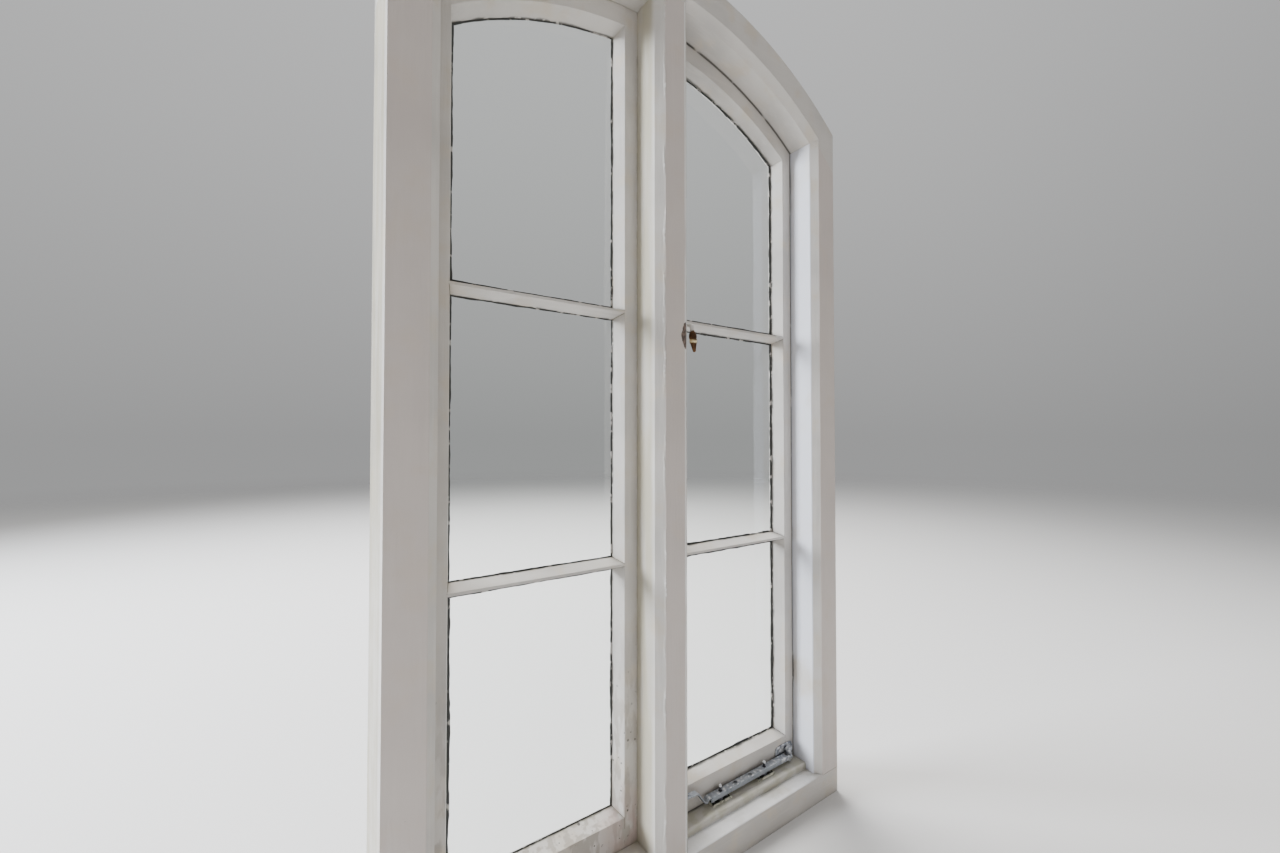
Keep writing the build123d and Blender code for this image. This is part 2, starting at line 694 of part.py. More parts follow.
# The nose swings down out of a mortice in the mullion, through a plate let in flush
nose_swing = sqrt(NOSE_L**2 - FASTENER_FROM_MULLION**2)
slot_top = lever_z + NOSE_H / 2 + MORTICE_CLEAR
slot_foot = lever_z - nose_swing - NOSE_H
slot_w = NOSE_W + 2 * MORTICE_CLEAR
slot_mid = (slot_top + slot_foot) / 2
slot_l = slot_top - slot_foot
mortice_places = []
for end, way in ((slot_foot, -1), (slot_top, 1)):
    spot = (LIGHT_IN, depth(hub_mid), end + way * MORTICE_PLATE_EDGE / 2)
    mortice_places.append(Plane(origin=spot, x_dir=(0, 0, 1), z_dir=(1, 0, 0)))
mortice_pilot = screw_set(mortice_places, HARDWARE_SCREW_L, slotted=False)
with BuildPart() as mortice_plate:
    with BuildSketch(Plane.YZ.offset(LIGHT_IN)):
        with Locations((depth(hub_mid), slot_mid)):
            Rectangle(MORTICE_PLATE_W, slot_l + 2 * MORTICE_PLATE_EDGE)
            Rectangle(slot_w, slot_l, mode=Mode.SUBTRACT)
    extrude(amount=-MORTICE_PLATE_T)
    add(mortice_pilot, mode=Mode.SUBTRACT)
save(mortice_plate.part, "mortice_plate")
save(screw_set(mortice_places, HARDWARE_SCREW_L), "mortice_plate_screws")

# The mullion and the jambs stand on the sill, scribed over its stop, under the head
mortice_depth = NOSE_L - FASTENER_FROM_MULLION + 2 * MORTICE_CLEAR
with BuildPart() as mullion:
    with BuildSketch(elevation(FRAME_D)):
        arched_outline(-LIGHT_IN, LIGHT_IN, 0, SOFFIT_R)
    extrude(amount=FRAME_D)
    add([sill.part, *light_voids, mortice_pilot, mortice_plate.part], mode=Mode.SUBTRACT)
    with BuildSketch(Plane.YZ.offset(LIGHT_IN)):
        with Locations((depth(hub_mid), slot_mid)):
            Rectangle(slot_w, slot_l)
    extrude(amount=-mortice_depth, mode=Mode.SUBTRACT)
save(mullion.part, "mullion")

for side_name, side in SIDES:
    with BuildPart() as jamb:
        with BuildSketch(elevation(FRAME_D)):
            arched_outline(side * LIGHT_OUT, side * FRAME_HALF, 0, SOFFIT_R)
        extrude(amount=FRAME_D)
        add([sill.part, *light_voids], mode=Mode.SUBTRACT)
        if side > 0:
            add(hinge_beds["jamb_leaf"], mode=Mode.SUBTRACT)
    save(jamb.part, f"jamb_{side_name}")

# Sashes: splayed round each pane inside, rebated for glass and putty outside. The opening
# sash's free edge is planed back a little towards the room, so that it clears as it swings
glass_back = RECESS + GLASS_DEPTH + GLASS_T
putty_front = FRAME_D - PUTTY_SETBACK
putty_t = putty_front - glass_back
putty_slope = degrees(atan2(GLAZING_REBATE - PUTTY_EDGE, putty_t))
glass_in = FACE_IN + SPLAY_W
glass_out = FACE_OUT - SPLAY_W
for side_name, side in SIDES:
    pane_voids = []
    for pane in PANES:
        with BuildPart() as pane_void:
            with BuildSketch(elevation(RECESS + GLASS_DEPTH)):
                pane_outline(side, pane, SPLAY_W)
            extrude(amount=GLASS_DEPTH + OVERCUT, taper=-SPLAY_DEG)
            with BuildSketch(elevation(FRAME_D + OVERCUT)):
                pane_outline(side, pane, REBATE_INSET)
            extrude(amount=SASH_T - GLASS_DEPTH + OVERCUT)
        pane_voids.append(pane_void.part)

        with BuildPart() as glass:
            with BuildSketch(elevation(glass_back)):
                pane_outline(side, pane, REBATE_INSET + GLASS_PLAY)
            extrude(amount=GLASS_T)
        save(glass.part, f"{side_name}_glass_{pane + 1}")

        with BuildPart() as putty:
            with BuildSketch(elevation(putty_front)):
                pane_outline(side, pane, REBATE_INSET)
            extrude(amount=putty_t)
            with BuildSketch(elevation(putty_front)):
                pane_outline(side, pane, REBATE_INSET + PUTTY_EDGE)
            extrude(amount=putty_t, taper=putty_slope, mode=Mode.SUBTRACT)
        save(putty.part, f"{side_name}_putty_{pane + 1}")

    meeting_holds = [fastener_pilot] if side > 0 else []
    outer_holds = [*hinge_beds["sash_leaf"], bracket_pilot] if side > 0 else []
    with BuildPart() as meeting_stile:
        with BuildSketch(elevation(FRAME_D)):
            stile_outline(side, FACE_IN, glass_in, LIGHT_IN - STOP_LAP)
        extrude(amount=SASH_T)
        add([*pane_voids, *meeting_holds], mode=Mode.SUBTRACT)
        if side > 0:
            edge_x = LIGHT_IN - STOP_LAP
            with BuildSketch():
                with BuildLine():
                    Polyline(
                        (edge_x, depth(RECESS)),
                        (edge_x + CLOSING_BEVEL, depth(RECESS)),
                        (edge_x, depth(FRAME_D)),
                        close=True,
                    )
                make_face()
            extrude(amount=ARC_Z + SASH_R, mode=Mode.SUBTRACT)
    save(meeting_stile.part, f"{side_name}_meeting_stile")

    with BuildPart() as outer_stile:
        with BuildSketch(elevation(FRAME_D)):
            stile_outline(side, FACE_OUT, glass_out, LIGHT_OUT + STOP_LAP)
        extrude(amount=SASH_T)
        add([*pane_voids, *outer_holds], mode=Mode.SUBTRACT)
    save(outer_stile.part, f"{side_name}_outer_stile")

    with BuildPart() as bottom_rail:
        with BuildSketch(elevation(FRAME_D)):
            straight_member(side, SASH_FOOT, FACE_FOOT, [(FACE_FOOT, SPLAY_W)])
        extrude(amount=SASH_T)
        add(pane_voids[0], mode=Mode.SUBTRACT)
        if side > 0:
            add(bracket_pilot, mode=Mode.SUBTRACT)
    save(bottom_rail.part, f"{side_name}_bottom_rail")

    with BuildPart() as head_rail:
        with BuildSketch(elevation(FRAME_D)):
            arc_band(side * FACE_IN, side * FACE_OUT, FACE_R, SASH_R)
            add(splay_strip(side, glass_in, glass_out))
        extrude(amount=SASH_T)
        add(pane_voids[-1], mode=Mode.SUBTRACT)
    save(head_rail.part, f"{side_name}_head_rail")

    for bar_name, height in zip(("lower", "upper"), BAR_H):
        foot = SILL_TOP + height - BAR_NOSE / 2
        head = foot + BAR_NOSE
        with BuildPart() as bar:
            with BuildSketch(elevation(FRAME_D)):
                straight_member(side, foot, head, [(foot, -SPLAY_W), (head, SPLAY_W)])
            extrude(amount=SASH_T)
            add(pane_voids, mode=Mode.SUBTRACT)
        save(bar.part, f"{side_name}_{bar_name}_bar")
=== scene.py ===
"""Old painted casement window: finishes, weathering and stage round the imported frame.

Run as a script, it dresses the frame's own pieces, adds the surfaces that age gives such a
window, and sets a camera and soft lights. Lengths are metres. X runs to the right as seen from
the room, Y outwards and Z up.
"""

import math

import bmesh
import bpy
import numpy as np
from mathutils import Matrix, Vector


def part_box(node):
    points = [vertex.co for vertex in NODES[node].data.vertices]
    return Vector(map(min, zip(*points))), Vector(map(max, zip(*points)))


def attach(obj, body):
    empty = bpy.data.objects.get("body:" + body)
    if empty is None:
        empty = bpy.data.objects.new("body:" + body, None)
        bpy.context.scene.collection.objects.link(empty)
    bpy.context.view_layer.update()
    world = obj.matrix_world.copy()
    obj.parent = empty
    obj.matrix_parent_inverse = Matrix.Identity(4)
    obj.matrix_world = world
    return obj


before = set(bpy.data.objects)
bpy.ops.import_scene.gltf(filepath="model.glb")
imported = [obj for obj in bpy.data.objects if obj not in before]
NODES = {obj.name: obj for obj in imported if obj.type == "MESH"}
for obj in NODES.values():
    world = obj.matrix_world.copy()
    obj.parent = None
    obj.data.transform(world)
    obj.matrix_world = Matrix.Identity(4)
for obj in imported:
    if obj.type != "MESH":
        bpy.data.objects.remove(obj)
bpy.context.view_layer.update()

bl_info = {
    "name": "Old casement window",
    "version": (1, 0, 0),
    "blender": (4, 5, 0),
    "location": "3D View > Sidebar > Window",
    "description": "Finishes and ages an arched timber casement window",
    "category": "Object",
}

MM = 0.001

# Places read from the frame
FRONT_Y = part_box("mullion")[0][1]
SASH_FACE_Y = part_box("right_bottom_rail")[0][1]
OUTER_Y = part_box("right_bottom_rail")[1][1]
GLASS_FACE_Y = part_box("right_glass_1")[0][1]
GLASS_BACK_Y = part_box("right_glass_1")[1][1]
LIGHT_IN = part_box("mullion")[1][0]
LIGHT_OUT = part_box("jamb_right")[0][0]
STOP_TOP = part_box("sill")[1][2]
FACE_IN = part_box("right_bottom_rail")[0][0]
FACE_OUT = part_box("right_bottom_rail")[1][0]

# The height of the arches' common centre, the radii of the top panes' daylight and of the
# frame's soffit, the sashes' splay, the height of the sill's ledge, and how far the glass goes
# into its rebates
ARC_Z = 1.008
ARC_RADIUS = 0.729
SOFFIT_RADIUS = 0.778
SPLAY = 10 * MM
SILL_LEDGE = 62 * MM
GLASS_HOLD = 6.5 * MM

# The fastener's grip, its lean, and the height of its collar over its end
GRIP_LENGTH = 45 * MM
GRIP_AXIS = 10 * MM
COLLAR_TILT = -0.154
COLLAR_RISE = 23.5 * MM

# Each light's name, its sash's body and whether that sash opens
SIDES = (("left", "frame", False), ("right", "casement", True))
PANES = (1, 2, 3)
TOP_PANE = 3

# How noise is drawn out along the brush, and down the timber where water runs
BRUSH_STRETCH = {"x": (14, 1, 1), "z": (1, 1, 14)}
SHORT_RUN, RUN, LONG_RUN = (1, 1, 3), (1, 1, 5), (1, 1, 9)

# Colours of dirt, stain and weather on the paint, and of painted light and shade laid on it
DUST = (0.44, 0.41, 0.34)
MOTTLE = (0.36, 0.32, 0.27)
PINK_BLOOM = (0.50, 0.37, 0.34)
# Painted shade for hollows, and for inner corners where it is mixed with dirt
HOLLOW_SHADE = (0.33, 0.30, 0.27)
OLIVE_CORNER_DIRT_AND_SHADE = (0.36, 0.33, 0.23)
GREY_CORNER_DIRT_AND_SHADE = (0.20, 0.185, 0.165)
RAIN_GREY = (0.36, 0.355, 0.32)
RAIN_STREAK = (0.20, 0.21, 0.16)
MOSS = (0.10, 0.12, 0.07)
# Painted shade and light on the frame's reveals and front faces
OLIVE_REVEAL_SHADE = (0.46, 0.42, 0.31)
MAUVE_FRONT_SHADE = (0.63, 0.545, 0.50)
COOL_REVEAL_LIGHT = (0.77, 0.79, 0.86)
BARE_DARK, BARE_LIGHT = (0.045, 0.026, 0.018), (0.20, 0.13, 0.10)
# A painted highlight for the mullion's arris
ARRIS_HIGHLIGHT = (0.90, 0.90, 0.88)
BRIGHT_RIDGE = (0.95, 0.93, 0.90)
# Painted light on the sill's ledge
LEDGE_LIGHT_WHITE = (0.90, 0.90, 0.92)
YELLOWED = (0.66, 0.64, 0.56)
YELLOW_STAIN = (0.46, 0.44, 0.31)
# Painted shade round the sill's stop
BLACK_CORNER_SHADE = (0.10, 0.09, 0.07)
RUST = (0.16, 0.085, 0.05)

# Colours of worn and dirty metal, and of painted shade on it
WORN_ZINC, ZINC_EDGE, BLACK_ZINC_SHADE = (0.90, 0.91, 0.92), (0.90, 0.92, 0.94), (0.035, 0.035, 0.04)
PEG_DARK, PEG_GREY, PEG_DOME = (0.05, 0.052, 0.062), (0.16, 0.165, 0.18), (0.86, 0.87, 0.88)
PLATE_DARK, PLATE_RIM, PLATE_EDGE = (0.025, 0.026, 0.022), (0.84, 0.82, 0.70), (0.80, 0.78, 0.66)
BRASS_CLOUD, GOLD_COLLAR = (0.20, 0.10, 0.045), (0.93, 0.76, 0.44)
SCREW_BRIGHT, SCREW_DULL = (0.42, 0.41, 0.38), (0.16, 0.14, 0.12)

# The camera's place and its turn in degrees
CAMERA_X, CAMERA_Z = -0.64325, 0.89956
CAMERA_TILT, CAMERA_TURN = 1.0762, 35.1101

# The floor darkens between two distances to meet the air, as painted shade that is deeper on
# the room's side, and fades away between two more. The air is dimmer on the room's side, and
# its strength rises from low down to high up.
FLOOR_REACH = 14.0
FLOOR_DARKENS = (1.5, 7.0)
FLOOR_FADES = (5.0, 13.5)
FAR_FLOOR = 0.74
ROOM_AIR = 0.70
AIR_LOW, AIR_HIGH, AIR_HIGH_UP = 0.38, 0.74, 0.80
AIR_COLOUR = (0.95, 0.955, 0.96)
ROOM_TO_OUTSIDE = (-0.5, 0.5)

# Square lamps: name, the setting for its power, width, place and colour
LAMPS = (
    ("daylight", "daylight", 4.5, (0.9, 3.6, 6.0), (1.0, 0.99, 0.97)),
    ("side light", "side_light", 2.8, (-5.0, 3.2, 2.9), (0.88, 0.93, 1.0)),
    ("room light", "room_light", 1.6, (0.6, -2.6, 1.5), (1.0, 0.80, 0.66)),
)
LAMP_SPREAD = math.radians(165)
WINDOW_MIDDLE = (0, 0, 0.95)


class WindowPaint(bpy.types.PropertyGroup):
    """Colours and wear of the paint."""

    coat: bpy.props.FloatVectorProperty(
        name="Top coat", description="Colour of the clean paint",
        subtype="COLOR", size=3, min=0, max=1, default=(0.64, 0.61, 0.57),
    )
    undercoat: bpy.props.FloatVectorProperty(
        name="Undercoat", description="Colour where the top coat has gone",
        subtype="COLOR", size=3, min=0, max=1, default=(0.52, 0.47, 0.40),
    )
    dirt: bpy.props.FloatVectorProperty(
        name="Dirt", description="Colour of the grime in the joints",
        subtype="COLOR", size=3, min=0, max=1, default=(0.045, 0.042, 0.038),
    )
    brush_depth: bpy.props.FloatProperty(
        name="Brush marks", description="Depth of the marks that the brush left",
        unit="LENGTH", min=0, default=0.0005,
    )
    soft_arris: bpy.props.FloatProperty(
        name="Soft arris", description="How far paint rounds an edge",
        unit="LENGTH", min=0, default=0.0012,
    )


class WindowGlazing(bpy.types.PropertyGroup):
    """The panes and what has gathered round them."""

    tint: bpy.props.FloatVectorProperty(
        name="Tint", description="Colour of the glass",
        subtype="COLOR", size=3, min=0, max=1, default=(0.965, 0.985, 0.975),
    )
    mould: bpy.props.FloatVectorProperty(
        name="Mould", description="Colour of the grime along the glass",
        subtype="COLOR", size=3, min=0, max=1, default=(0.050, 0.052, 0.048),
    )
    grime_and_shade_bead: bpy.props.FloatProperty(
        name="Bead", description="Widest radius of the old paint and grime along the glass",
        unit="LENGTH", min=0, default=0.0060,
    )


class WindowMetal(bpy.types.PropertyGroup):
    """Colours of the fittings."""

    zinc: bpy.props.FloatVectorProperty(
        name="Zinc", description="Colour of the stay's plating",
        subtype="COLOR", size=3, min=0, max=1, default=(0.38, 0.41, 0.46),
    )
    plate: bpy.props.FloatVectorProperty(
        name="Peg plates", description="Colour of the yellowed plates under the pegs",
        subtype="COLOR", size=3, min=0, max=1, default=(0.30, 0.29, 0.20),
    )
    brass: bpy.props.FloatVectorProperty(
        name="Aged brass", description="Colour of the fastener's patina",
        subtype="COLOR", size=3, min=0, max=1, default=(0.085, 0.042, 0.020),
    )
    bright_brass: bpy.props.FloatVectorProperty(
        name="Bright brass", description="Colour of brass that hands keep bright",
        subtype="COLOR", size=3, min=0, max=1, default=(0.78, 0.56, 0.27),
    )


class WindowStage(bpy.types.PropertyGroup):
    """Camera, lights and floor."""

    lens: bpy.props.FloatProperty(
        name="Lens", description="Focal length on a sensor 36 mm wide",
        unit="CAMERA", min=1, default=14.4,
    )
    distance: bpy.props.FloatProperty(
        name="Distance", description="Camera to the frame's room-side face",
        unit="LENGTH", default=0.79,
    )
    floor: bpy.props.FloatVectorProperty(
        name="Floor", description="Colour of the floor",
        subtype="COLOR", size=3, min=0, max=1, default=(0.78, 0.77, 0.76),
    )
    daylight: bpy.props.FloatProperty(
        name="Daylight", description="Power of the light outside",
        unit="POWER", default=640.0,
    )
    side_light: bpy.props.FloatProperty(
        name="Side light", description="Power of the light from the left",
        unit="POWER", default=800.0,
    )
    room_light: bpy.props.FloatProperty(
        name="Room light", description="Power of the light inside",
        unit="POWER", default=3.0,
    )


def shade(colour, share):
    """A colour made darker or lighter, by one share or by one for each of its parts."""
    return tuple(np.array(colour) * share)


class Nodes:
    """A node tree in the making, with a short call for each kind of node it uses."""

    def __init__(self, tree):
        self.tree = tree

    def node(self, kind, **settings):
        made = self.tree.nodes.new(kind)
        for key, value in settings.items():
            setattr(made, key, value)
        return made

    def feed(self, socket, value):
        if isinstance(value, bpy.types.NodeSocket):
            self.tree.links.new(value, socket)
        elif hasattr(value, "__len__") and len(value) == 3 and socket.type == "RGBA":
            socket.default_value = (*value, 1)
        else:
            socket.default_value = value

    def parts_of(self, vector):
        """A vector's X, Y and Z."""
        made = self.node("ShaderNodeSeparateXYZ")
        self.feed(made.inputs[0], vector)
        return made.outputs

    def maths(self, operation, *terms):
        made = self.node("ShaderNodeMath", operation=operation)
        for socket, term in zip(made.inputs, terms):
            self.feed(socket, term)
        return made.outputs[0]

    def in_turn(self, operation, first, others):
        """One operation carried along a row of values."""
        for other in others:
            first = self.maths(operation, first, other)
        return first

    def times(self, first, *others):
        return self.in_turn("MULTIPLY", first, others)

    def plus(self, first, *others):
        return self.in_turn("ADD", first, others)

    def least(self, first, *others):
        return self.in_turn("MINIMUM", first, others)

    def most(self, first, *others):
        return self.in_turn("MAXIMUM", first, others)

    def minus(self, value, less):
        return self.maths("SUBTRACT", value, less)

    def scaled(self, value, factor, offset):
        """A value times a factor, plus an offset."""
        return self.maths("MULTIPLY_ADD", value, factor, offset)

    def size(self, value):
        return self.maths("ABSOLUTE", value)

    def band(self, value, low, high, start=0.0, end=1.0, kind="SMOOTHSTEP"):
        """A value carried smoothly from one range to another and held at its ends."""
        made = self.node("ShaderNodeMapRange", interpolation_type=kind)
        for socket, given in zip(made.inputs, (value, low, high, start, end)):
            self.feed(socket, given)
        return made.outputs[0]

    def near(self, value, middle, reach):
        """1 at a place on a line and 0 beyond its reach."""
        away = self.size(self.minus(value, middle))
        return self.band(self.maths("DIVIDE", away, reach), 1.0, 0.3)

    def within(self, value, low, high, edge):
        """1 between two places, fading over an edge at each."""
        return self.times(self.band(value, low - edge, low), self.band(value, high + edge, high))


class Finish(Nodes):
    """A material in the making, with the colour laid on it so far."""

    def __init__(self, name):
        self.material = bpy.data.materials.new(name)
        self.material.use_nodes = True
        super().__init__(self.material.node_tree)
        self.tree.nodes.clear()
        self.surface = self.node("ShaderNodeBsdfPrincipled")
        output = self.node("ShaderNodeOutputMaterial")
        self.feed(output.inputs["Surface"], self.surface.outputs["BSDF"])
        self.place = self.node("ShaderNodeTexCoord").outputs["Object"]
        self.x, self.y, self.z = self.parts_of(self.place)
        self.colour = None

    def noise(self, scale, detail=3.0, stretch=None):
        """Cloudy noise of a scale per metre, drawn out along the axes that stretch names."""
        place = self.place
        if stretch:
            drawn_out = self.node("ShaderNodeMapping", vector_type="TEXTURE")
            self.feed(drawn_out.inputs["Vector"], place)
            self.feed(drawn_out.inputs["Scale"], stretch)
            place = drawn_out.outputs[0]
        made = self.node("ShaderNodeTexNoise")
        self.feed(made.inputs["Vector"], place)
        self.feed(made.inputs["Scale"], scale)
        self.feed(made.inputs["Detail"], detail)
        return made.outputs["Fac"]

    def specks(self, scale, radius, share):
        """Small round spots in some of a cell pattern's cells."""
        made = self.node("ShaderNodeTexVoronoi")
        self.feed(made.inputs["Vector"], self.place)
        self.feed(made.inputs["Scale"], scale)
        chosen = self.node("ShaderNodeSeparateColor")
        self.feed(chosen.inputs[0], made.outputs["Color"])
        size = self.times(chosen.outputs[1], radius)
        spot = self.maths("LESS_THAN", made.outputs["Distance"], size)
        return self.times(spot, self.maths("LESS_THAN", chosen.outputs[0], share))

    def blend(self, below, above, share):
        made = self.node("ShaderNodeMix", data_type="RGBA")
        self.feed(made.inputs["Factor"], share)
        self.feed(made.inputs["A"], below)
        self.feed(made.inputs["B"], above)
        return made.outputs["Result"]

    def lay(self, colour, share):
        """Cover the colour so far with another, where the share says."""
        self.colour = self.blend(self.colour, colour, share)

    def facing(self):
        """The way the surface faces, as X, Y and Z."""
        return self.parts_of(self.node("ShaderNodeNewGeometry").outputs["True Normal"])

    def closed_in(self, distance):
        """1 in corners and under other pieces, 0 in the open."""
        shut_in = self.node("ShaderNodeAmbientOcclusion", samples=4)
        self.feed(shut_in.inputs["Distance"], distance)
        return self.band(shut_in.outputs["AO"], 0.72, 0.34)

    def rounded(self, radius):
        """The normal with the soft arrises that paint or wear leaves."""
        soft = self.node("ShaderNodeBevel", samples=4)
        self.feed(soft.inputs["Radius"], radius)
        return soft.outputs[0]

    def edge(self, soft_normal):
        """1 on an arris: where the rounded normal leaves the true one."""
        turn = self.node("ShaderNodeVectorMath", operation="DOT_PRODUCT")
        self.feed(turn.inputs[0], soft_normal)
        true_normal = self.node("ShaderNodeNewGeometry").outputs["True Normal"]
        self.feed(turn.inputs[1], true_normal)
        return self.band(turn.outputs["Value"], 0.995, 0.85)

    def bump(self, height, depth, normal=None):
        made = self.node("ShaderNodeBump")
        self.feed(made.inputs["Distance"], depth)
        self.feed(made.inputs["Height"], height)
        if normal is not None:
            self.feed(made.inputs["Normal"], normal)
        return made.outputs[0]

    def set(self, **values):
        for key, value in values.items():
            self.feed(self.surface.inputs[key.replace("_", " ")], value)

    def give(self, pieces):
        for piece in pieces:
            piece.data.materials.clear()
            piece.data.materials.append(self.material)


class PaintedTimber(Finish):
    """Brushed paint on timber, with the wear, dirt and weather that it has gathered, and painted
    shade in its hollows and corners.
    """

    def __init__(self, name, paint, along, in_sash):
        """Along is the axis that the brush followed."""
        super().__init__(name)
        self.brush_depth = paint.brush_depth
        self.dirt = tuple(paint.dirt)
        self.broad = self.noise(70, 2, BRUSH_STRETCH[along])
        self.patch = self.noise(18, 5)
        self.ragged = self.noise(48, 6)
        self.normal = self.rounded(paint.soft_arris)
        self.face = self.facing()
        self.swings = self.band(self.x, -MM, MM)
        self.fresh(tuple(paint.coat))
        self.wear(tuple(paint.undercoat))
        if in_sash:
            self.dirt_along_glass()
            self.mitre_cracks()
            self.dirty_foot()
        self.joint(in_sash)
        self.shade_in_hollows()
        self.weather()
        strokes = self.noise(260, 3, BRUSH_STRETCH[along])
        self.height = self.scaled(self.broad, 0.6, strokes)
        self.height = self.scaled(self.noise(140, 2), 0.35, self.height)

    def by_side(self, fixed, opening):
        """One value on the light whose sash is fixed and another on the one that opens."""
        return self.scaled(self.swings, opening - fixed, fixed)

    def fresh(self, clean):
        """Clean paint, clouded and yellowed in patches and brighter along some strokes."""
        self.colour = clean
        self.lay(shade(clean, 0.85), self.band(self.noise(5, 4), 0.42, 0.66))
        self.lay(shade(clean, (0.98, 0.92, 0.82)), self.band(self.patch, 0.50, 0.72, 0, 0.8))
        self.lay(shade(clean, 1.08), self.band(self.broad, 0.52, 0.68, 0, 0.38))

    def wear(self, undercoat):
        """Rubbed arrises, a few chips, specks of grime, and dust on what faces up."""
        rubbed = self.times(self.edge(self.normal), self.band(self.ragged, 0.56, 0.66), 0.4)
        self.lay(undercoat, rubbed)
        chips = self.times(self.specks(21, 0.05, 0.10), self.band(self.ragged, 0.40, 0.52), 0.8)
        self.lay(undercoat, chips)
        self.lay(self.dirt, self.times(self.specks(38, 0.04, 0.30), 0.8))
        upward = self.band(self.face[2], 0.4, 0.9)
        self.lay(DUST, self.times(upward, self.band(self.patch, 0.38, 0.7), 0.22))

    def dirt_along_glass(self):
        """Grime on the splays beside the glass, in a broken strip of ragged width."""
        width = self.scaled(self.noise(24, 4), self.by_side(15 * MM, 21 * MM), -3.0 * MM)
        strip = self.near(self.y, GLASS_FACE_Y, self.most(width, 2.0 * MM))
        self.lay(self.dirt, self.times(strip, self.band(self.noise(75, 4), 0.66, 0.56), 0.88))

    def mitre_cracks(self):
        """Fine dark cracks at a sash's joints: its mitred splays and its butted rails.

        A place's distance in from the stile's inner edge is set against its distance past each
        rail's or bar's edge: where they are equal is the mitre.
        """
        across = self.size(self.x)
        inward = self.least(self.minus(across, FACE_IN), self.minus(FACE_OUT, across))
        rail_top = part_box("right_bottom_rail")[1][2] - SPLAY
        edges = [(rail_top, 1)]
        for bar in ("right_lower_bar", "right_upper_bar"):
            low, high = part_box(bar)
            edges += [(low[2] + SPLAY, -1), (high[2] - SPLAY, 1)]
        nearest = 1.0
        for height, way in edges:
            past = self.times(self.minus(self.z, height), way)
            off = self.plus(
                self.size(self.minus(inward, past)),
                self.band(past, SPLAY, SPLAY + MM), self.band(past, 0.0, -MM),
            )
            nearest = self.least(nearest, off)
        butt = self.plus(self.size(inward), self.band(self.z, rail_top, rail_top + MM))
        wander = self.scaled(self.noise(150, 3), 1.0 * MM, -0.5 * MM)
        crack = self.near(self.least(nearest, butt), wander, 1.3 * MM)
        roomward = self.band(self.face[1], 0.2, -0.1)
        crack = self.times(crack, self.band(self.ragged, 0.38, 0.48), roomward)
        self.lay(self.dirt, self.times(crack, 0.9))

    def dirty_foot(self):
        """Mottled paint, a pink bloom and flecks towards the fixed sash's foot."""
        foot = self.times(self.band(self.z, 0.62, 0.14), self.band(self.x, MM, -MM))
        mottle = self.band(self.noise(65, 6, SHORT_RUN), 0.46, 0.58)
        self.lay(MOTTLE, self.times(foot, mottle, 0.7))
        corner = (self.band(self.z, 0.24, 0.10), self.band(self.x, -0.16, -0.06))
        self.lay(PINK_BLOOM, self.times(*corner, self.band(self.patch, 0.40, 0.54), foot, 0.75))
        flecks = self.times(self.specks(105, 0.34, 0.34), self.band(self.ragged, 0.42, 0.52))
        self.lay(self.dirt, self.times(flecks, foot, 0.85))

    def off_the_reveal(self):
        """Distance from the frame's opening, inwards across a sash's face."""
        across = self.size(self.x)
        rise = self.most(self.minus(self.z, ARC_Z), 0.0)
        squares = self.scaled(rise, rise, self.times(self.x, self.x))
        return self.least(
            self.minus(across, LIGHT_IN), self.minus(LIGHT_OUT, across),
            self.minus(self.z, STOP_TOP),
            self.minus(SOFFIT_RADIUS, self.maths("SQRT", squares)),
        )

    def joint(self, in_sash):
        """The dark line round a sash, open where it swings and nearly painted shut elsewhere."""
        reach = self.by_side(2.0 * MM, 4.6 * MM)
        off = self.off_the_reveal()
        if in_sash:
            line = self.near(off, 0.0, reach)
        else:
            line = self.times(
                self.near(self.y, SASH_FACE_Y, reach), self.band(self.face[1], 0.5, 0.3),
                self.band(off, -6 * MM, -4 * MM),
            )
        broken = self.band(self.noise(30, 5), self.by_side(0.40, 0.28), self.by_side(0.56, 0.42))
        self.lay(self.dirt, self.times(line, broken, self.by_side(0.35, 0.95)))

    def shade_in_hollows(self):
        """Painted shade in every hollow, and dirt mixed with painted shade in the inner corners.
        """
        self.lay(HOLLOW_SHADE, self.times(self.closed_in(60 * MM), 0.35))
        # Painted shade with dirt in the inner corners, olive by the fixed sash and grey by the
        # other
        corner = self.times(self.closed_in(14 * MM), self.band(self.ragged, 0.36, 0.56), 0.7)
        self.lay(self.blend(OLIVE_CORNER_DIRT_AND_SHADE, GREY_CORNER_DIRT_AND_SHADE, self.swings), corner)

    def weather(self):
        """Grey-green rain streaks on the outside, and moss at its foot."""
        outside = self.band(self.y, SASH_FACE_Y + 20 * MM, OUTER_Y)
        outside = self.times(outside, self.band(self.face[1], -0.5, 0.1))
        self.lay(RAIN_GREY, self.times(outside, 0.55))
        streaks = self.band(self.noise(34, 6, RUN), 0.46, 0.66)
        self.lay(RAIN_STREAK, self.times(outside, streaks, 0.55))
        foot = (self.band(self.z, 0.16, 0.03), self.band(self.patch, 0.40, 0.60))
        self.lay(MOSS, self.times(outside, *foot, 0.7))

    def done(self):
        """Feed the colour, gloss and relief into the shader."""
        self.set(
            Base_Color=self.colour,
            Roughness=self.band(self.patch, 0.3, 0.75, 0.30, 0.52),
            Normal=self.bump(self.height, self.brush_depth, self.normal),
        )
        return self


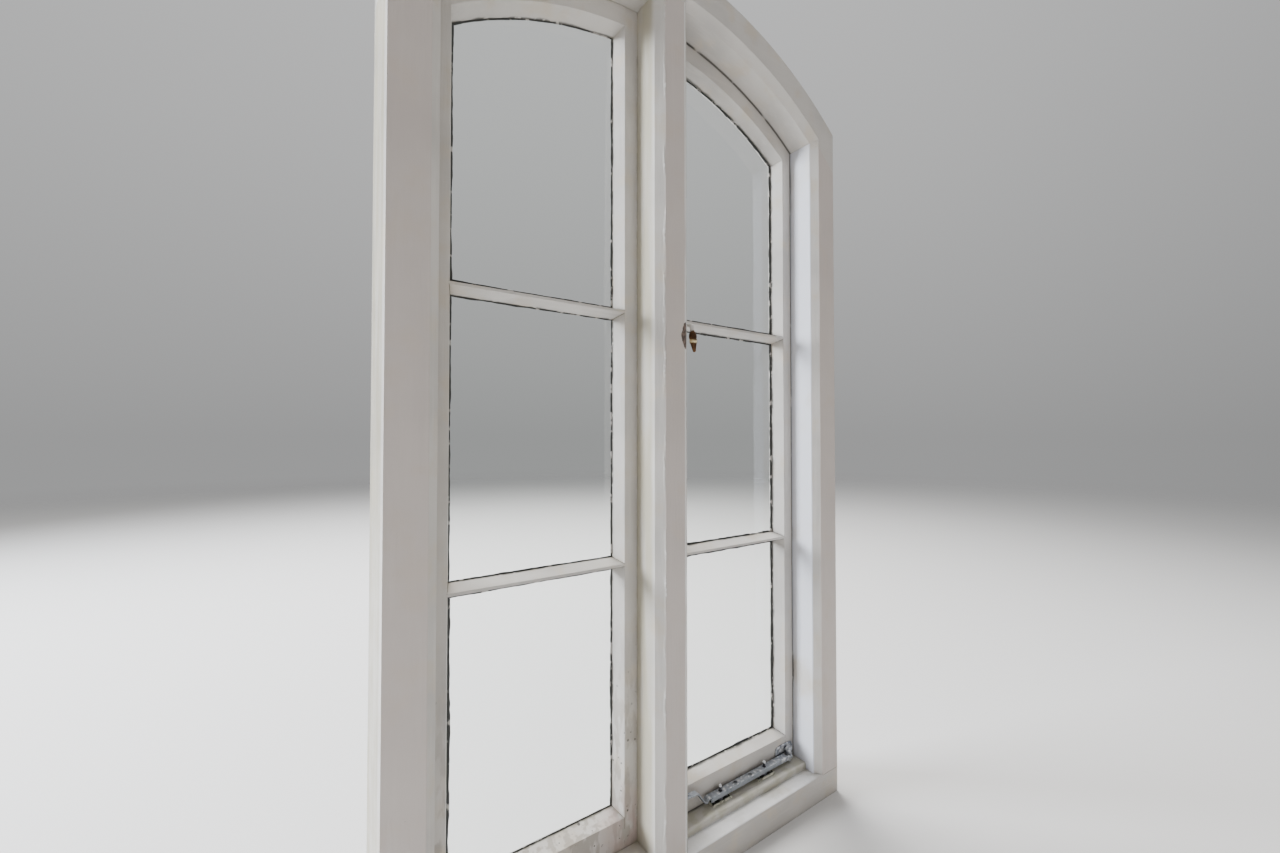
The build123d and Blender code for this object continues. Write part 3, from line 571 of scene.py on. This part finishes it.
def upright_frame(paint):
    """Paint for the jambs and the mullion, with painted light and shade on some faces.

    The front faces carry a painted mauve shade, the left reveals' deeper parts painted olive
    shade in streaks, and the right jamb's reveal a painted cool light. The mullion has a run of
    paint down its left arris, a painted highlight along its right arris, and beside the fastener
    a patch that fingers have rubbed down to brown.
    """
    coat = PaintedTimber("frame paint, upright", paint, "z", False)
    # Painted shade: olive streaks on the deeper part of the reveals left of the middle
    deep = coat.band(coat.y, FRONT_Y + 16 * MM, FRONT_Y + 30 * MM)
    shaded_deep_left = coat.times(deep, coat.band(coat.x, 0.0, -MM))
    streaks = coat.band(coat.noise(42, 5, LONG_RUN), 0.36, 0.62, 0.45, 1.0)
    coat.lay(OLIVE_REVEAL_SHADE, coat.times(shaded_deep_left, streaks, 0.85))
    # Painted shade: a mauve tint on the room-facing front faces
    front = coat.band(coat.y, FRONT_Y + 1.5 * MM, FRONT_Y + 0.5 * MM)
    coat.lay(MAUVE_FRONT_SHADE, coat.times(front, 0.62))
    # Painted light: a cool white on the right jamb's reveal, where daylight falls
    reveal = coat.near(coat.x, LIGHT_OUT, 2.5 * MM)
    coat.lay(COOL_REVEAL_LIGHT, coat.times(reveal, coat.band(coat.noise(5, 3), 0.30, 0.50), 0.75))
    # Painted highlight: a pale line along the mullion's right front arris
    line = coat.near(coat.x, LIGHT_IN - 16.9 * MM, 2.5 * MM)
    line = coat.times(line, coat.band(coat.noise(14, 4, SHORT_RUN), 0.34, 0.46), 0.85)
    coat.lay(ARRIS_HIGHLIGHT, line)

    # The rubbed patch: a parabola's bow along the arris, with a ragged edge
    low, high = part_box("fastener_lever")
    middle = (low[2] + high[2]) / 2 - 12 * MM
    rise = coat.maths("DIVIDE", coat.minus(coat.z, middle), 30 * MM)
    half_width = coat.times(coat.minus(1.0, coat.times(rise, rise)), 12 * MM)
    ragged = coat.scaled(coat.noise(120, 4), 9 * MM, -4.5 * MM)
    off = coat.minus(coat.minus(coat.x, LIGHT_IN - 16 * MM), ragged)
    rubbed = coat.band(coat.minus(half_width, coat.size(off)), 0.0, 1.5 * MM)
    rubbed = coat.times(rubbed, coat.within(coat.x, 0.0, 60 * MM, MM))
    brown = coat.blend(BARE_DARK, BARE_LIGHT, coat.band(coat.noise(200, 3), 0.4, 0.62))
    coat.lay(brown, coat.times(rubbed, 0.95))

    # The run of paint: a wandering ridge with lumps, bright along its rim
    wander = coat.scaled(coat.noise(26, 4), 7 * MM, -LIGHT_IN + 11 * MM)
    in_front = coat.band(coat.y, FRONT_Y + 9 * MM, FRONT_Y + 8 * MM)
    ridge = coat.times(coat.near(coat.x, wander, 2.4 * MM), in_front)
    ridge = coat.times(ridge, coat.band(coat.noise(33, 4, SHORT_RUN), 0.46, 0.62))
    coat.height = coat.scaled(ridge, 2.6, coat.height)
    coat.lay(BRIGHT_RIDGE, coat.times(ridge, coat.band(coat.noise(60, 3), 0.5, 0.64), 0.7))
    return coat.done()


def level_frame(paint):
    """Paint for the sill and the head: the ledge whitened as painted light, and a yellowed stop
    by the stay with painted shade in its hollows.
    """
    coat = PaintedTimber("frame paint, level", paint, "x", False)
    # Painted light: the ledge made whiter, as if lit from above
    ledge = coat.times(
        coat.within(coat.z, SILL_LEDGE - 12 * MM, SILL_LEDGE + 1 * MM, 3 * MM),
        coat.within(coat.y, FRONT_Y + 1 * MM, FRONT_Y + 60 * MM, 1 * MM),
        coat.band(coat.noise(12, 4), 0.30, 0.55),
    )
    coat.lay(LEDGE_LIGHT_WHITE, coat.times(ledge, 0.9))
    low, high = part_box("stay_arm")
    stop = coat.times(
        coat.within(coat.x, low[0] - 20 * MM, high[0] + 10 * MM, 40 * MM),
        coat.within(coat.z, SILL_LEDGE + 2 * MM, STOP_TOP + MM, 3 * MM),
    )
    coat.lay(YELLOWED, coat.times(stop, 0.45))
    coat.lay(YELLOW_STAIN, coat.times(stop, coat.band(coat.noise(40, 5), 0.40, 0.62), 0.5))
    # Painted shade: black in the hollows round the stop and under the arm
    coat.lay(BLACK_CORNER_SHADE, coat.times(stop, coat.closed_in(16 * MM), 0.4))
    return coat.done()


class WINDOW_OT_paint_timber(bpy.types.Operator):
    """Paint the frame, the sashes and the putty"""

    bl_idname = "window.paint_timber"
    bl_label = "Paint timber"

    def execute(self, context):
        paint = context.scene.window_paint
        upright_frame(paint).give(NODES[name] for name in ("mullion", "jamb_left", "jamb_right"))
        level_frame(paint).give((NODES["sill"], NODES["head"]))
        level_parts = ("bottom_rail", "lower_bar", "upper_bar", "head_rail")
        for lie, along, parts in (
            ("upright", "z", ("outer_stile", "meeting_stile")), ("level", "x", level_parts),
        ):
            coat = PaintedTimber(f"sash paint, {lie}", paint, along, True).done()
            coat.give(NODES[f"{side}_{part}"] for side, _, _ in SIDES for part in parts)

        putty = Finish("painted putty")
        lump = putty.noise(55, 5)
        putty.colour = shade(paint.coat, 0.72)
        putty.lay(shade(putty.colour, 0.72), putty.band(lump, 0.4, 0.7))
        beside_glass = putty.band(putty.y, GLASS_BACK_Y + 4 * MM, GLASS_BACK_Y + 1 * MM)
        mould = putty.times(beside_glass, putty.band(putty.noise(34, 5), 0.34, 0.5))
        putty.lay(tuple(context.scene.window_glazing.mould), mould)
        putty.set(
            Base_Color=putty.colour, Roughness=0.6, Normal=putty.bump(lump, 1.2 * MM),
        )
        putty.give(NODES[f"{side}_putty_{pane}"] for side, _, _ in SIDES for pane in PANES)
        return {"FINISHED"}


def surface_piece(name, points, body, closes=True):
    """A mesh from a grid of points: each row is a closed ring, and the rows may close too."""
    rings, sides = points.shape[:2]
    index = np.arange(rings * sides).reshape(rings, sides)
    if closes:
        index = np.concatenate([index, index[:1]])
    here, ahead = index[:-1], index[1:]
    corners = [here, ahead, np.roll(ahead, -1, axis=1), np.roll(here, -1, axis=1)]
    faces = np.stack(corners, axis=-1).reshape(-1, 4)
    mesh = bpy.data.meshes.new(name)
    mesh.from_pydata(points.reshape(-1, 3).tolist(), [], faces.tolist())
    mesh.polygons.foreach_set("use_smooth", np.ones(len(faces), dtype=bool))
    mesh.update()
    piece = bpy.data.objects.new(name, mesh)
    bpy.context.scene.collection.objects.link(piece)
    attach(piece, body)
    return piece


def closed_piece(name, points, body):
    """A solid from rings of points, with flat ends that close the first and the last."""
    piece = surface_piece(name, points, body, closes=False)
    rings, sides = points.shape[:2]
    count = rings * sides
    mesh = bmesh.new()
    mesh.from_mesh(piece.data)
    mesh.verts.ensure_lookup_table()
    mesh.faces.new([mesh.verts[i] for i in range(sides)])
    mesh.faces.new([mesh.verts[i] for i in range(count - 1, count - sides - 1, -1)])
    bmesh.ops.recalc_face_normals(mesh, faces=mesh.faces)
    mesh.to_mesh(piece.data)
    mesh.free()
    return piece


def turned_piece(name, profile, centre, body, sides=32):
    """A closed solid of revolution: each radius and height of the profile goes round."""
    radius, height = np.array(profile).T
    turn = np.linspace(0, 2 * np.pi, sides, endpoint=False)
    points = np.empty((len(radius), sides, 3))
    points[..., 0] = centre[0] + radius[:, None] * np.cos(turn)
    points[..., 1] = centre[1] + radius[:, None] * np.sin(turn)
    points[..., 2] = centre[2] + height[:, None]
    return closed_piece(name, points, body)


def pane_outline(side, pane):
    """Points round a pane's daylight, about 3 mm apart, as X and Z columns.

    Straight runs go corner to corner. The top pane's head follows the circle of the arches'
    common centre.
    """
    low, high = (np.array(corner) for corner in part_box(f"{side}_glass_{pane}"))
    x0, z0 = low[0] + GLASS_HOLD, low[2] + GLASS_HOLD
    x1, z1 = high[0] - GLASS_HOLD, high[2] - GLASS_HOLD
    step = 3 * MM

    def run(start, end):
        count = int(np.hypot(*(np.array(end) - start)) / step)
        share = np.arange(count)[:, None] / count
        return np.array(start) * (1 - share) + np.array(end) * share

    if pane != TOP_PANE:
        corners = [(x0, z0), (x1, z0), (x1, z1), (x0, z1)]
        return np.concatenate([run(a, b) for a, b in zip(corners, corners[1:] + corners[:1])])
    z_start, z_end = (ARC_Z + math.sqrt(ARC_RADIUS**2 - x**2) for x in (x1, x0))
    first, last = (math.atan2(z - ARC_Z, x) for x, z in ((x1, z_start), (x0, z_end)))
    count = int(abs(last - first) * ARC_RADIUS / step)
    angles = np.linspace(first, last, count, endpoint=False)
    arc_x, arc_z = ARC_RADIUS * np.cos(angles), ARC_Z + ARC_RADIUS * np.sin(angles)
    corners = [(x0, z_end), (x0, z0), (x1, z0), (x1, z_start)]
    straight = [run(a, b) for a, b in zip(corners, corners[1:])]
    return np.concatenate([np.stack([arc_x, arc_z], axis=1), *straight])


def wander(count, seed, lengths, weights):
    """A smooth closed random line from -1 to 1: noise blurred over each length in turn."""
    draw = np.random.default_rng(seed)
    total = np.zeros(count)
    for length, weight in zip(lengths, weights):
        raw = np.fft.rfft(draw.normal(size=count))
        raw *= np.exp(-0.5 * (np.arange(raw.size) * length / count) ** 2 * 4)
        line = np.fft.irfft(raw, count)
        total += weight * line / (np.abs(line).max() + 1e-9)
    return total / np.abs(total).max()


class WINDOW_OT_glaze(bpy.types.Operator):
    """Give the panes their glass and the grime, partly painted shade, along their edges"""

    bl_idname = "window.glaze"
    bl_label = "Glaze"

    def execute(self, context):
        glazing = context.scene.window_glazing
        glass = Finish("drawn glass")
        glass.set(
            Base_Color=tuple(glazing.tint),
            Transmission_Weight=1.0,
            IOR=1.5,
            Roughness=glass.band(glass.noise(6, 5), 0.5, 0.8, 0.0, 0.05),
            Normal=glass.bump(glass.noise(9, 1, (1, 1, 2.5)), 0.8 * MM),
        )
        panes = [NODES[f"{side}_glass_{pane}"] for side, _, _ in SIDES for pane in PANES]
        glass.give(panes)

        # Light from outside has to reach the splays and the reveals
        for pane in panes:
            pane.visible_shadow = False

        # The cords along the glass are grime and also painted shade at the glass's edge
        grime = Finish("old grime and paint")
        grime.colour = tuple(glazing.mould)
        pale = shade(context.scene.window_paint.coat, 0.8)
        grime.lay(pale, grime.band(grime.noise(42, 5), 0.56, 0.64))
        grime.set(
            Base_Color=grime.colour, Roughness=0.8,
            Normal=grime.bump(grime.noise(300, 3), 0.6 * MM),
        )
        for number, (side, body, opens) in enumerate(SIDES):
            for pane in PANES:
                seed = 10 * number + pane
                grime.give([self.grime_and_shade_bead(side, pane, body, opens, glazing.grime_and_shade_bead, seed)])
        return {"FINISHED"}

    def grime_and_shade_bead(self, side, pane, body, opens, widest, seed):
        """A ragged cord of grime and painted shade that follows the glass: its width takes in the
        shade at the glass's edge as well as the grime.

        A circle is carried round the pane's outline in the glass's face. Its radius swells and
        shrinks along the way, and its middle wanders a little off the line. It is thickest up
        the sides of the sash that opens.
        """
        outline = pane_outline(side, pane)
        count = len(outline)
        ahead = np.roll(outline, -1, axis=0) - np.roll(outline, 1, axis=0)
        ahead /= np.linalg.norm(ahead, axis=1)[:, None]
        level_share = 0.72 if opens else 0.55
        upright_share = 0.6 if opens else 0.5 if pane == 1 else 0.15
        radius = widest * (level_share + upright_share * np.abs(ahead[:, 1]))
        radius *= 0.66 + 0.34 * wander(count, seed, (40, 12, 4), (0.5, 0.6, 0.5))
        inward = np.stack([-ahead[:, 1], ahead[:, 0]], axis=1)
        to_middle = outline.mean(axis=0) - outline
        inward *= np.sign(np.sum(to_middle * inward, axis=1))[:, None]
        drift = 0.5 * MM * wander(count, seed + 50, (25, 6), (1, 0.6))
        middle = outline + inward * drift[:, None]
        turn = np.linspace(0, 2 * np.pi, 8, endpoint=False)
        out = radius[:, None] * np.cos(turn)
        deep = radius[:, None] * np.sin(turn) * 0.35
        points = np.empty((count, turn.size, 3))
        points[..., 0] = middle[:, None, 0] + inward[:, None, 0] * out
        points[..., 2] = middle[:, None, 1] + inward[:, None, 1] * out
        points[..., 1] = GLASS_FACE_Y - 0.4 * MM + deep
        return surface_piece(f"{side}_glass_grime_{pane}", points, body)


class WINDOW_OT_finish_stay(bpy.types.Operator):
    """Plate the stay, its bracket, its pegs and their plates"""

    bl_idname = "window.finish_stay"
    bl_label = "Finish stay"

    def execute(self, context):
        metal = context.scene.window_metal
        zinc = self.worn_zinc(tuple(metal.zinc))
        zinc.give(NODES[name] for name in NODES if name.startswith("stay"))
        zinc.give((self.rivet(), self.back_plate()))
        self.worn_pegs().give((NODES["stay_peg_near"], NODES["stay_peg_far"]))
        plates = self.yellowed_plates(tuple(metal.plate))
        plates.give((NODES["stay_peg_plate_near"], NODES["stay_peg_plate_far"]))
        return {"FINISHED"}

    def worn_zinc(self, plating):
        """Plating gone dark in clouds, worn bright on top, at the knuckle and on the edges.

        Its sides carry painted shade against a lighter top, and its crevices black painted shade.
        """
        zinc = Finish("worn zinc")
        cloud = zinc.noise(60, 5)
        normal = zinc.rounded(0.9 * MM)
        upward = zinc.band(zinc.facing()[2], 0.4, 0.8)
        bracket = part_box("stay_bracket")[0][0]
        knuckle = zinc.band(zinc.x, bracket - 45 * MM, bracket - 12 * MM)
        # Painted light: faces turned up keep the plating's colour, the sides are painted darker
        zinc.colour = zinc.blend(shade(plating, 0.72), plating, upward)
        zinc.lay(shade(plating, 0.5), zinc.band(cloud, 0.44, 0.72))
        bright = zinc.band(zinc.scaled(knuckle, 0.06, zinc.noise(110, 6)), 0.47, 0.68)
        bright = zinc.times(bright, zinc.most(upward, knuckle))
        zinc.lay(WORN_ZINC, zinc.times(bright, 0.8))
        zinc.lay(ZINC_EDGE, zinc.times(zinc.edge(normal), 0.85))
        # Painted shade: near black in the crevices
        zinc.lay(BLACK_ZINC_SHADE, zinc.times(zinc.closed_in(6 * MM), 0.93))
        zinc.set(
            Base_Color=zinc.colour, Metallic=0.6,
            Roughness=zinc.band(cloud, 0.3, 0.7, 0.30, 0.52),
            Normal=zinc.bump(zinc.noise(500, 2, (18, 1, 1)), 0.12 * MM, normal),
        )
        return zinc

    def worn_pegs(self):
        """Dark pegs with domes that the arm has rubbed bright."""
        pegs = Finish("worn pegs")
        cloud = pegs.noise(130, 4)
        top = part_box("stay_peg_near")[1][2]
        dome = pegs.band(pegs.z, top - 6 * MM, top - 4.5 * MM)
        pegs.colour = PEG_DARK
        pegs.lay(PEG_GREY, pegs.band(cloud, 0.45, 0.65))
        pegs.lay(PEG_DOME, dome)
        pegs.set(
            Base_Color=pegs.colour, Metallic=0.7,
            Roughness=pegs.band(dome, 0.0, 1.0, 0.6, 0.28),
            Normal=pegs.bump(cloud, 0.15 * MM, pegs.rounded(0.5 * MM)),
        )
        return pegs

    def yellowed_plates(self, base):
        """Peg plates with dark middles and pale rims, by the distance in from their edges."""
        plates = Finish("yellowed plating")
        cloud = plates.noise(90, 5)
        normal = plates.rounded(0.5 * MM)
        rim = dark = 0.0
        for name in ("near", "far"):
            low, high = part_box(f"stay_peg_plate_{name}")
            inside = plates.least(
                plates.minus(plates.x, low[0]), plates.minus(high[0], plates.x),
                plates.minus(plates.y, low[1]),
            )
            rim = plates.most(rim, plates.near(inside, 1.0 * MM, 3.0 * MM))
            dark = plates.most(dark, plates.band(inside, 2.6 * MM, 3.6 * MM))
        plates.colour = base
        plates.lay(shade(base, 0.3), plates.band(cloud, 0.40, 0.56))
        plates.lay(PLATE_DARK, plates.times(dark, 0.85))
        patchy = plates.band(plates.noise(120, 4), 0.34, 0.5)
        plates.lay(PLATE_RIM, plates.times(rim, patchy, 0.9))
        plates.lay(PLATE_EDGE, plates.times(plates.edge(normal), 0.9))
        plates.set(
            Base_Color=plates.colour, Metallic=0.6, Roughness=0.45,
            Normal=plates.bump(cloud, 0.3 * MM, normal),
        )
        return plates

    def back_plate(self):
        """The bracket's pressed back plate, which reaches behind the arm.

        Its outline is a superellipse, a rounded oblong. The outline is carried from the sash's
        face to the plate's face and drawn in over the last part, which rounds the rim.
        """
        low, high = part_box("stay_bracket")
        x0, x1, z0, z1 = low[0] - 27 * MM, high[0] - 1 * MM, low[2] + 1 * MM, high[2] + 7 * MM
        squareness, thickness, rim = 0.45, 1.4 * MM, 1.2 * MM
        turn = np.linspace(0, 2 * np.pi, 64, endpoint=False)
        unit_x = np.sign(np.cos(turn)) * np.abs(np.cos(turn)) ** squareness
        unit_z = np.sign(np.sin(turn)) * np.abs(np.sin(turn)) ** squareness
        ease = np.linspace(0, np.pi / 2, 5)
        drawn = np.concatenate([[0.0], rim * (1 - np.cos(ease))])
        deep = np.concatenate([[0.0], thickness + rim * np.sin(ease)])
        points = np.empty((drawn.size, turn.size, 3))
        points[..., 0] = (x0 + x1) / 2 + ((x1 - x0) / 2 - drawn[:, None]) * unit_x
        points[..., 1] = SASH_FACE_Y + 0.2 * MM - deep[:, None]
        points[..., 2] = (z0 + z1) / 2 + ((z1 - z0) / 2 - drawn[:, None]) * unit_z
        return closed_piece("stay_back_plate", points, "casement")

    def rivet(self):
        """The domed head that closes the swivel's pin over the bracket's upper lug.

        Radius and height follow a quarter of an ellipse on a short upright rim.
        """
        low, high = (np.array(corner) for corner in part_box("stay_swivel_pin"))
        middle = (low + high) / 2
        lift = np.linspace(0, np.pi / 2, 9)[:-1]
        radius, rise, rim = 7.8 * MM, 3.6 * MM, 1.5 * MM
        dome = np.stack([radius * np.cos(lift), rim + rise * np.sin(lift)], axis=1)
        profile = np.concatenate([[(radius, 0.0)], dome])
        centre = (middle[0], middle[1], high[2] - 1.4 * MM)
        return turned_piece("stay_rivet", profile, centre, "casement")


class WINDOW_OT_finish_fastener(bpy.types.Operator):
    """Age the lever fastener, its plates and all the screws"""

    bl_idname = "window.finish_fastener"
    bl_label = "Finish fastener"

    def execute(self, context):
        coat = tuple(context.scene.window_paint.coat)
        brass = self.aged_brass(context.scene.window_metal, coat)
        brass.give(NODES[name] for name in NODES if name.startswith(("fastener", "mortice")))

        steel = Finish("dulled screws")
        cloud = steel.noise(160, 4)
        steel.colour = SCREW_BRIGHT
        steel.lay(SCREW_DULL, steel.band(cloud, 0.4, 0.65))
        steel.set(
            Base_Color=steel.colour, Metallic=0.8, Roughness=0.45,
            Normal=steel.bump(cloud, 0.3 * MM),
        )
        steel.give(NODES[name] for name in NODES if "screws" in name)
        return {"FINISHED"}

    def aged_brass(self, metal, coat):
        """Dark brass with a gold collar; old paint covers all but the grip and chips off edges."""
        brass = Finish("aged brass")
        cloud = brass.noise(70, 6)
        normal = brass.rounded(0.8 * MM)
        edge = brass.edge(normal)
        brass.colour = tuple(metal.brass)
        brass.lay(BRASS_CLOUD, brass.band(cloud, 0.42, 0.68))
        brass.lay(tuple(metal.bright_brass), brass.times(edge, 0.35))
        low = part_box("fastener_lever")[0]
        collar_z = low[2] + COLLAR_RISE + COLLAR_TILT * (low[1] + GRIP_AXIS)
        collar = brass.near(brass.scaled(brass.y, COLLAR_TILT, brass.z), collar_z, 4.6 * MM)
        collar = brass.times(collar, brass.band(brass.noise(90, 4), 0.30, 0.42))
        brass.lay(GOLD_COLLAR, collar)

        ragged = brass.noise(110, 5)
        painted = brass.scaled(ragged, 14 * MM, brass.z)
        neck = low[2] + GRIP_LENGTH
        painted = brass.band(painted, neck + 5 * MM, neck + 9 * MM)
        painted = brass.most(painted, brass.band(brass.y, low[1] + 48 * MM, low[1] + 52 * MM))
        chipped = brass.times(edge, brass.band(ragged, 0.46, 0.56))
        painted = brass.times(painted, brass.minus(1.0, chipped))
        brass.lay(coat, painted)
        brass.set(
            Base_Color=brass.colour, Metallic=brass.band(painted, 0.0, 1.0, 0.8, 0.0),
            Roughness=brass.band(cloud, 0.3, 0.7, 0.3, 0.6),
            Normal=brass.bump(cloud, 0.3 * MM, normal),
        )
        return brass


class WINDOW_OT_finish_hinges(bpy.types.Operator):
    """Paint the hinges over, as they are on an old window"""

    bl_idname = "window.finish_hinges"
    bl_label = "Finish hinges"

    def execute(self, context):
        hinge = Finish("painted hinge")
        cloud = hinge.noise(90, 5)
        normal = hinge.rounded(0.5 * MM)
        hinge.colour = shade(context.scene.window_paint.coat, 0.7)
        hinge.lay(RUST, hinge.times(hinge.edge(normal), hinge.band(cloud, 0.42, 0.6)))
        hinge.set(
            Base_Color=hinge.colour, Roughness=0.5,
            Normal=hinge.bump(cloud, 0.5 * MM, normal),
        )
        names = [name for name in NODES if name.startswith("hinge") and "screws" not in name]
        hinge.give(NODES[name] for name in names)
        return {"FINISHED"}


class WINDOW_OT_set_stage(bpy.types.Operator):
    """Lay the floor, hang the lights and stand the camera where the photographer stood"""

    bl_idname = "window.set_stage"
    bl_label = "Set stage"

    def execute(self, context):
        stage = context.scene.window_stage
        self.lay_floor(context, tuple(stage.floor))
        self.fill_air(context)
        for name, setting, width, place, colour in LAMPS:
            self.hang_lamp(context, name, getattr(stage, setting), width, place, colour)
        self.stand_camera(context, stage)
        return {"FINISHED"}

    def lay_floor(self, context, colour):
        """A plain floor whose far part darkens towards the air's tone, as painted shade deeper on
        the room's side, and then fades away.
        """
        floor = Finish("studio floor")
        far = floor.node("ShaderNodeVectorMath", operation="LENGTH")
        floor.feed(far.inputs[0], floor.place)
        distance = far.outputs["Value"]
        # Painted shade: the far floor darker, more so on the room's side
        outwards = floor.maths("DIVIDE", floor.y, distance)
        dim = floor.band(outwards, *ROOM_TO_OUTSIDE, FAR_FLOOR * ROOM_AIR, FAR_FLOOR)
        floor.colour = colour
        floor.lay(floor.blend((0, 0, 0), colour, dim), floor.band(distance, *FLOOR_DARKENS))
        floor.set(
            Base_Color=floor.colour, Alpha=floor.band(distance, *FLOOR_FADES, 1.0, 0.0),
            Roughness=0.9, Specular_IOR_Level=0.0,
        )
        mesh = bpy.data.meshes.new("floor")
        signs = ((-1, -1), (1, -1), (1, 1), (-1, 1))
        corners = [(x * FLOOR_REACH, y * FLOOR_REACH, 0) for x, y in signs]
        mesh.from_pydata(corners, [], [(0, 1, 2, 3)])
        ground = bpy.data.objects.new("floor", mesh)
        context.scene.collection.objects.link(ground)
        floor.give([ground])

    def fill_air(self, context):
        """Even light from all round, stronger from above and dimmer from the room's side."""
        world = bpy.data.worlds.new("studio air")
        context.scene.world = world
        world.use_nodes = True
        air = Nodes(world.node_tree)
        _, y, z = air.parts_of(air.node("ShaderNodeTexCoord").outputs["Generated"])
        rise = air.band(z, 0, AIR_HIGH_UP, AIR_LOW, AIR_HIGH, "LINEAR")
        side = air.band(y, *ROOM_TO_OUTSIDE, ROOM_AIR, 1.0)
        background = world.node_tree.nodes["Background"].inputs
        air.feed(background["Strength"], air.times(rise, side))
        air.feed(background["Color"], AIR_COLOUR)

    def hang_lamp(self, context, name, power, width, place, colour):
        """A square area light that faces the middle of the window."""
        light = bpy.data.lights.new(name, "AREA")
        light.energy, light.size, light.color = power, width, colour
        light.spread = LAMP_SPREAD
        lamp = bpy.data.objects.new(name, light)
        context.scene.collection.objects.link(lamp)
        lamp.location = place
        lamp.visible_camera = lamp.visible_transmission = lamp.visible_glossy = False
        aim = Vector(WINDOW_MIDDLE) - Vector(place)
        lamp.rotation_euler = aim.to_track_quat("-Z", "Y").to_euler()

    def stand_camera(self, context, stage):
        lens = bpy.data.cameras.new("photographer")
        lens.sensor_width = 36
        lens.lens = stage.lens
        camera = bpy.data.objects.new("photographer", lens)
        context.scene.collection.objects.link(camera)
        camera.location = (CAMERA_X, FRONT_Y - stage.distance, CAMERA_Z)
        camera.rotation_euler = (math.radians(90 + CAMERA_TILT), 0, math.radians(-CAMERA_TURN))
        context.scene.camera = camera


STEPS = (
    WINDOW_OT_paint_timber,
    WINDOW_OT_glaze,
    WINDOW_OT_finish_stay,
    WINDOW_OT_finish_fastener,
    WINDOW_OT_finish_hinges,
    WINDOW_OT_set_stage,
)
GROUPS = {
    "window_paint": WindowPaint,
    "window_glazing": WindowGlazing,
    "window_metal": WindowMetal,
    "window_stage": WindowStage,
}


class WINDOW_PT_steps(bpy.types.Panel):
    """The window's sizes, colours and steps"""

    bl_idname = "WINDOW_PT_steps"
    bl_label = "Old casement window"
    bl_space_type = "VIEW_3D"
    bl_region_type = "UI"
    bl_category = "Window"

    def draw(self, context):
        for group_name, group in GROUPS.items():
            box = self.layout.box()
            for key in group.__annotations__:
                box.prop(getattr(context.scene, group_name), key)
        for step in STEPS:
            self.layout.operator(step.bl_idname)


def register():
    for group in (*GROUPS.values(), *STEPS, WINDOW_PT_steps):
        bpy.utils.register_class(group)
    for name, group in GROUPS.items():
        setattr(bpy.types.Scene, name, bpy.props.PointerProperty(type=group))


def unregister():
    for name in GROUPS:
        delattr(bpy.types.Scene, name)
    for group in reversed((*GROUPS.values(), *STEPS, WINDOW_PT_steps)):
        bpy.utils.unregister_class(group)


def main():
    register()
    for step in STEPS:
        area, name = step.bl_idname.split(".")
        getattr(getattr(bpy.ops, area), name)()


if __name__ == "__main__":
    main()
